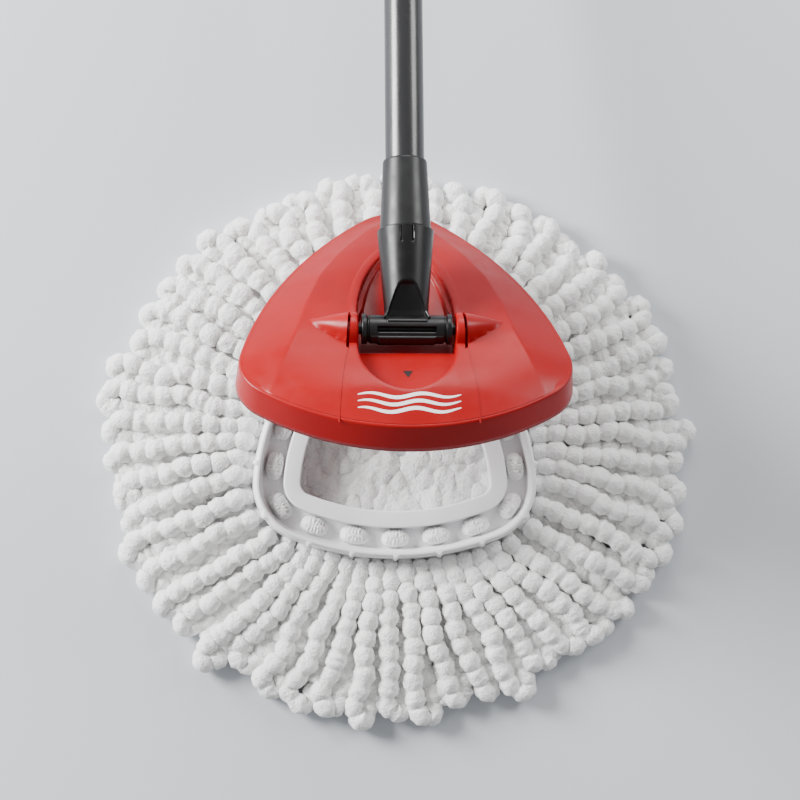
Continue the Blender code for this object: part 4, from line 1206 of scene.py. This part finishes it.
    def ribbon(self, name: str, path: Array, width: float | Array, rise: float, finish: Finish,
               sink: float = 0.5 * MM, floor: bool = False) -> None:
        """Build a thin band on the top: a panel line, the arrow or a printed stripe.

        Args:
            name: the piece's name.
            path: (x, y) points of its middle in the base's frame.
            width: its width, alone or at each point.
            rise: how far its top stands over the surface.
            finish: what it is made of.
            sink: how far its underside lies below its top.
            floor: whether it lies on the recess's floor instead of the top.
        """
        tangent = unit(np.gradient(path, axis=0))
        side = np.stack([-tangent[:, 1], tangent[:, 0]], axis=-1)
        half = (np.ones(len(path)) * width / 2.0)[:, None]
        across = np.linspace(-1.0, 1.0, 7)
        flat = path[:, None] + side[:, None] * (half * across[None, :])[..., None]
        height = self.shape.floor(flat[..., 1]) if floor else self.shape.top(flat[..., 0], flat[..., 1])
        top = np.concatenate([flat, (height + rise)[..., None]], axis=-1)
        under = top[:, ::-1] - np.array((0.0, 0.0, sink))
        surface = Surface.of(capped(np.concatenate([top, under], axis=1)))
        place_piece(build_object(name, surface.transformed(BASE_FRAME), finish), Body.BASE)

    def details(self) -> None:
        """Add the moulded panel lines, a dark inlay of painted shade for the arrow hole in the recess, and
        the plain wave print.
        """
        for side, name in ((-1.0, "left"), (1.0, "right")):
            part = np.linspace(0.0, 1.0, 40)[:, None]
            start, end = np.array((32.9, -19.9)) * MM, np.array((38.2, -66.0)) * MM
            path = start + (end - start) * part + np.array((0.9 * MM, 0.0)) * np.sin(np.pi * part)
            self.ribbon(f"panel_line_{name}", path * (side, 1.0), 0.8 * MM, 0.22 * MM, RED_ABS)
        # painted shade: a thin dark inlay stands for the shade inside the moulded arrow hole
        arrow = np.stack([np.zeros(12), np.linspace(-33.0, -38.4, 12)], axis=-1) * MM
        self.ribbon("recess_arrow_painted_shade", arrow, np.linspace(5.6, 0.4, 12) * MM, 0.12 * MM, ARROW_HOLE_SHADE,
                    floor=True)
        x = np.linspace(-28.0, 28.0, 120)
        for number, level in enumerate((-53.6, -57.4, -61.2)):
            bend = level + 0.0018 * x**2 + 1.1 * np.sin(x / 56.0 * 4.0 * np.pi + 0.4 * number)
            width = 1.9 * np.clip(np.cos(x / 28.5 * np.pi / 2.0), 0.0, 1.0) ** 0.45
            self.ribbon(f"wave_print_{number + 1}", np.stack([x, bend], axis=-1) * MM, width * MM, 0.07 * MM,
                        PRINT_INK, sink=0.3 * MM)

    def pin(self) -> None:
        """Build the hinge pin through both cheeks and the barrel."""
        bar = cross_bar(30.0 * MM, 3.0 * MM, 0.4 * MM, 32)
        surface = Surface.of(bar + np.array((0.0, *HINGE_IN_BASE)))
        place_piece(build_object("pin", surface.transformed(BASE_FRAME), BLACK_NYLON), Body.BASE,
                    ["hinge_pin"])

    def build(self) -> None:
        """Build the base."""
        self.shell()
        self.locator()
        self.details()
        self.pin()


# ------------------------------------------------------------------ handle

def add_lathe(name: str, corners: Sequence[Corner], finish: Finish, body: Body,
              nodes: Sequence[str], segments: int = 96, hollow: bool = True) -> bpy.types.Object:
    """Build a round piece on the handle's axis.

    Args:
        name: the piece's name.
        corners: (distance from the hinge, radius, rounding) in millimetres, closed for a hollow piece.
        finish: what it is made of.
        body: the body it rides on.
        nodes: the CAD nodes that it stands for.
        segments: points round.
        hollow: whether the section closes on itself; if not, it starts and ends on the axis.

    Returns:
        The piece.
    """
    profile = closed_profile(in_metres(corners)) if hollow else rounded_profile(in_metres(corners))
    surface = Surface.of(lathe(profile, segments))
    return place_piece(build_object(name, surface.transformed(HANDLE_FRAME), finish), body, nodes)


@dataclass
class Yoke:
    """The black yoke: a cross barrel with flanges, slot and lip, and the cone with its scooped front."""

    end: float = 24.9             # mm, half the barrel's length
    radius: float = 8.5 * MM
    waist: float = 7.7 * MM

    def barrel(self) -> Surface:
        """Return the barrel: flanged ends, a groove behind each flange, a slot, a lip and a ledge."""
        x = np.concatenate([[-self.end, -self.end], np.linspace(-self.end, -21.0, 9),
                            np.linspace(-20.6, 20.6, 100), np.linspace(21.0, self.end, 9),
                            [self.end, self.end]]) * MM
        turn = circle(144)       # from up towards the front
        edge = np.abs(x) / MM
        radius = np.full(len(x), self.waist)
        radius = np.where(edge > 22.2, self.radius, radius)
        radius = np.where((edge > 20.7) & (edge <= 21.8), self.waist - 0.5 * MM, radius)
        radius = np.where(edge > 24.6, self.radius - 0.3 * MM, radius)
        away_x, away_turn = np.abs(x)[:, None], np.degrees(turn)[None, :]
        radius = np.repeat(radius[:, None], len(turn), axis=1)
        slot = (1.0 - smooth_step(15.6 * MM, 16.4 * MM, away_x)) * (
            1.0 - smooth_step(10.0, 13.0, np.abs(away_turn - 15.0)))
        lip_zone = smooth_step(42.0, 46.0, away_turn) * (1.0 - smooth_step(112.0, 118.0, away_turn))
        beyond = smooth_step(15.3 * MM, 16.2 * MM, away_x)
        lip = (1.0 - beyond) * lip_zone
        side_lip = beyond * (1.0 - smooth_step(19.8 * MM, 20.6 * MM, away_x)) * lip_zone
        ledge = (1.0 - smooth_step(10.6 * MM, 11.2 * MM, away_x)) * (
            1.0 - smooth_step(3.0, 6.0, np.abs(away_turn - 338.0)))
        radius = radius - 4.6 * MM * slot + 1.25 * MM * lip + 0.5 * MM * side_lip + 0.9 * MM * ledge
        radius[[0, -1]] = 0.0
        points = np.stack([np.repeat(x[:, None], len(turn), axis=1), -radius * np.sin(turn),
                           radius * np.cos(turn)], axis=-1)
        return Surface.of(points)

    def cone(self) -> Surface:
        """Return the cone: it rises from the barrel, is scooped in front and holds the ferrule."""
        distance = np.concatenate([[3.0], np.linspace(3.0, 6.0, 5), np.linspace(6.5, 55.2, 110),
                                   [55.7, 56.0]]) * MM
        radius = np.interp(distance, np.array((3.0, 6.0, 8.0, 14.0, 56.0)) * MM,
                           np.array((8.2, 11.4, 12.1, 12.5, 15.9)) * MM)
        radius[-1] -= 0.35 * MM
        radius[0] = 0.0
        inner = np.array([(56.0, 14.75), (54.0, 14.6), (44.0, 13.7), (30.0, 12.7), (29.7, 0.0)]) * MM
        distance = np.concatenate([distance, inner[:, 0]])
        radius = np.concatenate([radius, inner[:, 1]])
        turn = circle(192)
        x, z = radius[:, None] * np.cos(turn), radius[:, None] * np.sin(turn)
        y = np.repeat(distance[:, None], len(turn), axis=1)
        outer = (np.arange(len(radius)) < len(radius) - len(inner))[:, None]
        half = np.interp(y, np.array((6.0, 12.0, 19.0, 23.0, 25.0)) * MM,
                         np.array((10.8, 9.0, 6.4, 4.4, 2.4)) * MM)
        tent = (1.0 - smooth_step(-0.5 * MM, 0.6 * MM, np.abs(x) - half)) * (
            1.0 - smooth_step(22.5 * MM, 25.5 * MM, y))
        keep = (z > 0.0) & outer
        plane = np.interp(y, np.array((4.0, 10.0, 25.0)) * MM, np.array((3.4, 4.8, 12.4)) * MM)
        plane = plane - 1.6 * MM * np.clip(1.0 - (x / half) ** 2, 0.0, 1.0)
        z = np.where(keep & (z > plane), z + (plane - z) * tent, z)
        slit = np.exp(-((np.abs(x) - 3.2 * MM) / (0.35 * MM)) ** 4) * smooth_step(46.0 * MM, 46.6 * MM, y)
        z = np.where(keep, z - 0.8 * MM * slit, z)
        return Surface.of(np.stack([x, y, z], axis=-1))

    def foot(self, side: float) -> Surface:
        """Return a slanting foot between the cone and the barrel."""
        part = np.linspace(0.0, 1.0, 14)
        path = np.stack([side * (9.6 + 3.0 * part), 11.0 - 6.6 * part, 4.6 + 2.6 * part], axis=-1) * MM
        turn = circle(16)
        thick = np.sqrt(np.clip(1.0 - (2.0 * part - 1.0) ** 8, 0.0, 1.0)) * 0.9 * MM
        ring = np.stack([np.cos(turn) * 0.9, np.sin(turn) * 0.6, np.sin(turn) * 0.8], axis=-1)
        return Surface.of(path[:, None] + ring[None] * thick[:, None, None])

    def build(self) -> None:
        """Build the yoke's parts in the handle's frame."""
        parts = {"yoke_barrel": self.barrel(), "yoke_cone": self.cone(), "yoke_foot_left": self.foot(-1.0),
                 "yoke_foot_right": self.foot(1.0)}
        for name, surface in parts.items():
            piece = build_object(name, surface.transformed(HANDLE_FRAME), BLACK_NYLON, sharp=38.0)
            place_piece(piece, Body.LOWER, ["yoke"] if name == "yoke_barrel" else [])


@dataclass
class Handle:
    """The telescopic handle: ferrule, two tubes, lock collar and nut, grip and end cap."""

    grip_grooves: int = 5
    groove_pitch: float = 3.6     # mm
    flutes: int = 12
    flute_depth: float = 1.0 * MM
    hole_at: float = 778.5 * MM   # the hang hole, from the hinge
    hole_radius: float = 5.0 * MM

    def lower(self) -> None:
        """Build what belongs to the lower tube."""
        add_lathe("ferrule_sleeve", [
            (30.0, 12.3, 0.3), (55.5, 14.0, 0.0), (57.0, 14.3, 0.2), (96.2, 12.45, 0.6), (97.0, 12.0, 0.3),
            (97.0, 11.3, 0.2), (36.0, 11.3, 0.2), (36.0, 8.5, 0.2), (30.0, 8.5, 0.2)],
            GREY_PP, Body.LOWER, ["ferrule"])
        add_lathe("tube_lower", [
            (36.0, 11.0, 0.2), (560.0, 11.0, 0.2), (560.0, 10.1, 0.2), (36.0, 10.1, 0.2)],
            TUBE_COAT, Body.LOWER, ["lower_tube"])
        add_lathe("collar", [
            (536.0, 12.2, 0.4), (540.0, 14.2, 1.5), (545.0, 14.2, 0.2), (545.6, 13.8, 0.2),
            (546.4, 13.8, 0.2), (547.0, 14.2, 0.2), (569.0, 14.2, 0.8), (570.0, 13.6, 0.3),
            (570.0, 11.6, 0.2), (560.3, 11.6, 0.2), (560.3, 11.3, 0.1), (536.0, 11.3, 0.2)],
            GREY_PP, Body.LOWER, ["lock_collar"])

    def nut(self) -> None:
        """Build the fluted twist nut: the radius dips by depth cos^4 at each flute."""
        corners = [(573.5, 14.6, 0.6), (576.5, 15.7, 1.2), (601.0, 15.4, 1.5), (608.0, 12.6, 1.0),
                   (608.0, 9.9, 0.3), (603.0, 9.9, 0.2), (602.5, 11.9, 0.2), (573.5, 12.1, 0.3)]
        profile = closed_profile(in_metres(corners))
        dense: list[tuple[float, float]] = []
        for start, end in zip(profile, profile[1:]):
            count = max(1, int(abs(end[0] - start[0]) / (1.5 * MM)))
            dense += [(start[0] + (end[0] - start[0]) * k / count, start[1] + (end[1] - start[1]) * k / count)
                      for k in range(count)]
        dense.append(profile[-1])
        columns = 16 * self.flutes
        grid = lathe(dense, columns)
        distance, radius = np.array(dense).T
        window = smooth_step(575.5 * MM, 579.0 * MM, distance) * (
            1.0 - smooth_step(598.0 * MM, 603.0 * MM, distance))
        depth = window * (radius > 13.0 * MM) * self.flute_depth
        dip = np.abs(np.cos(circle(columns) * self.flutes / 2.0)) ** 4
        scale = 1.0 - depth[:, None] * dip[None, :] / radius[:, None]
        grid = grid * np.stack([scale, np.ones_like(scale), scale], axis=-1)
        surface = Surface.of(grid)
        place_piece(build_object("twist_nut", surface.transformed(HANDLE_FRAME), RED_GRIP_CAP), Body.NUT,
                    ["lock_nut"])

    def upper(self) -> None:
        """Build what belongs to the upper tube."""
        add_lathe("tube_upper", [
            (112.0, 9.5, 0.2), (763.0, 9.5, 0.2), (763.0, 8.6, 0.2), (112.0, 8.6, 0.2)],
            TUBE_COAT, Body.UPPER, ["upper_tube"])
        corners = [(630.0, 11.4, 0.6), (635.0, 14.0, 1.6)]
        for number in range(self.grip_grooves):
            at = 641.0 + self.groove_pitch * number
            corners += [(at, 14.2, 0.3), (at + 0.6, 13.6, 0.3), (at + 1.2, 13.6, 0.3), (at + 1.8, 14.2, 0.3)]
        corners += [(680.0, 14.0, 4.0), (715.0, 14.1, 4.0), (740.0, 14.9, 4.0), (756.0, 15.2, 2.0),
                    (764.0, 15.2, 0.6), (764.0, 9.8, 0.2), (630.0, 9.8, 0.2)]
        add_lathe("grip", corners, SOFT_GRIP, Body.UPPER, ["grip_sleeve"])
        cap = add_lathe("cap", [
            (744.3, 0.0, 0.0), (744.3, 8.3, 0.6), (764.3, 8.3, 0.2), (764.3, 15.2, 0.5), (772.0, 15.2, 3.0),
            (785.0, 13.4, 3.0), (789.0, 10.0, 2.5), (790.0, 0.0, 0.0)], RED_GRIP_CAP, Body.UPPER,
            ["end_cap"], hollow=False)
        hole = cross_bar(20.0 * MM, self.hole_radius, 0.0, 48)
        surface = Surface.of(hole + np.array((0.0, self.hole_at, 0.0)))
        cut(cap, [build_object("hang_hole_cutter", surface.transformed(HANDLE_FRAME), RED_GRIP_CAP)])

    def build(self) -> None:
        """Build the handle."""
        self.lower()
        self.nut()
        self.upper()


@dataclass
class HiddenParts:
    """CAD parts that are mostly inside others: they keep their shape and take a finish."""

    finishes: dict[str, Finish] = field(default_factory=lambda: {
        "lock_ring": WHITE_PP, "collet": WHITE_PP, "guide_plug": GREY_PP})

    def build(self) -> None:
        """Give each part its finish."""
        for name, finish in self.finishes.items():
            part = frame["nodes"][name]
            part.data.materials.clear()
            part.data.materials.append(material_of(finish))
            log.info("%s keeps its CAD shape", name)


# ------------------------------------------------------------------ studio

@dataclass(frozen=True)
class Lamp:
    """A square area light: its name, place, the place it points at, its side in metres and its watts."""

    name: str
    place: tuple[float, float, float]
    aim: tuple[float, float, float]
    size: float
    watts: float


@dataclass
class Studio:
    """A plain pale floor, large soft lights and the camera; the key stands low on the left."""

    target: tuple[float, float, float] = (0.0022, 0.032, 0.030)
    elevation: float = 86.0       # degrees
    aside: float = 3.6            # degrees that the camera leans to -X
    distance: float = 1.30
    lens: float = 98.55           # mm, on a sensor 36 mm wide
    sensor: float = 36.0
    floor_half: float = 30.0
    floor_drop: float = 0.3 * MM  # how far the floor lies under the object
    sky: float = 0.42
    lamps: tuple[Lamp, ...] = (
        Lamp("key", (-1.62, 0.72, 0.82), (0.0, 0.03, 0.03), 0.8, 112.0),
        Lamp("right", (1.3, 0.9, 0.9), (0.0, 0.03, 0.03), 0.7, 18.0),
        Lamp("back", (0.2, 1.9, 1.0), (0.0, 0.2, 0.03), 1.0, 26.0),
    )

    def floor(self) -> None:
        """Add the floor just under the object."""
        side = self.floor_half
        mesh = bpy.data.meshes.new("studio_floor")
        mesh.from_pydata([(-side, -side, 0.0), (side, -side, 0.0), (side, side, 0.0), (-side, side, 0.0)], [],
                         [(0, 1, 2, 3)])
        material, _, shader = start_material("pale_floor")
        feed(material.node_tree, shader, {"Base Color": linear("C9CDD3"), "Roughness": 0.85})
        mesh.materials.append(material)
        floor = bpy.data.objects.new("studio_floor", mesh)
        floor.location = (0.0, 0.0, -self.floor_drop)
        bpy.context.scene.collection.objects.link(floor)

    def lights(self) -> None:
        """Add the sky and the lamps."""
        world = bpy.data.worlds.new("studio_sky")
        world.use_nodes = True
        feed(world.node_tree, world.node_tree.nodes["Background"], {
            "Color": (1.0, 1.0, 1.0, 1.0), "Strength": self.sky})
        bpy.context.scene.world = world
        for lamp in self.lamps:
            data = bpy.data.lights.new(lamp.name, "AREA")
            data.energy = lamp.watts
            data.size = lamp.size
            light = bpy.data.objects.new(lamp.name, data)
            light.location = lamp.place
            heading = Vector(lamp.aim) - Vector(lamp.place)
            light.rotation_euler = heading.to_track_quat("-Z", "Y").to_euler()
            bpy.context.scene.collection.objects.link(light)

    def camera(self) -> None:
        """Add the camera: it looks down on the head, along the handle's plane."""
        turn, aside = math.radians(self.elevation), math.radians(self.aside)
        back = Vector((-math.sin(aside), -math.cos(turn) * math.cos(aside), math.sin(turn) * math.cos(aside)))
        data = bpy.data.cameras.new("camera")
        data.sensor_width = self.sensor
        data.lens = self.lens
        camera = bpy.data.objects.new("camera", data)
        camera.location = Vector(self.target) + back * self.distance
        right = Vector((0.0, 1.0, 0.0)).cross(back).normalized()
        camera.rotation_euler = Matrix((right, back.cross(right), back)).transposed().to_euler()
        bpy.context.scene.collection.objects.link(camera)
        bpy.context.scene.camera = camera

    def build(self) -> None:
        """Build the studio."""
        self.floor()
        self.lights()
        self.camera()


def main() -> None:
    """Build every piece in order."""
    logging.basicConfig(level=logging.INFO, format="%(message)s")
    RefillRing().build()
    MopDisc().build()
    InnerYarn().build()
    MopBase().build()
    Yoke().build()
    Handle().build()
    HiddenParts().build()
    Studio().build()


if __name__ == "__main__":
    main()
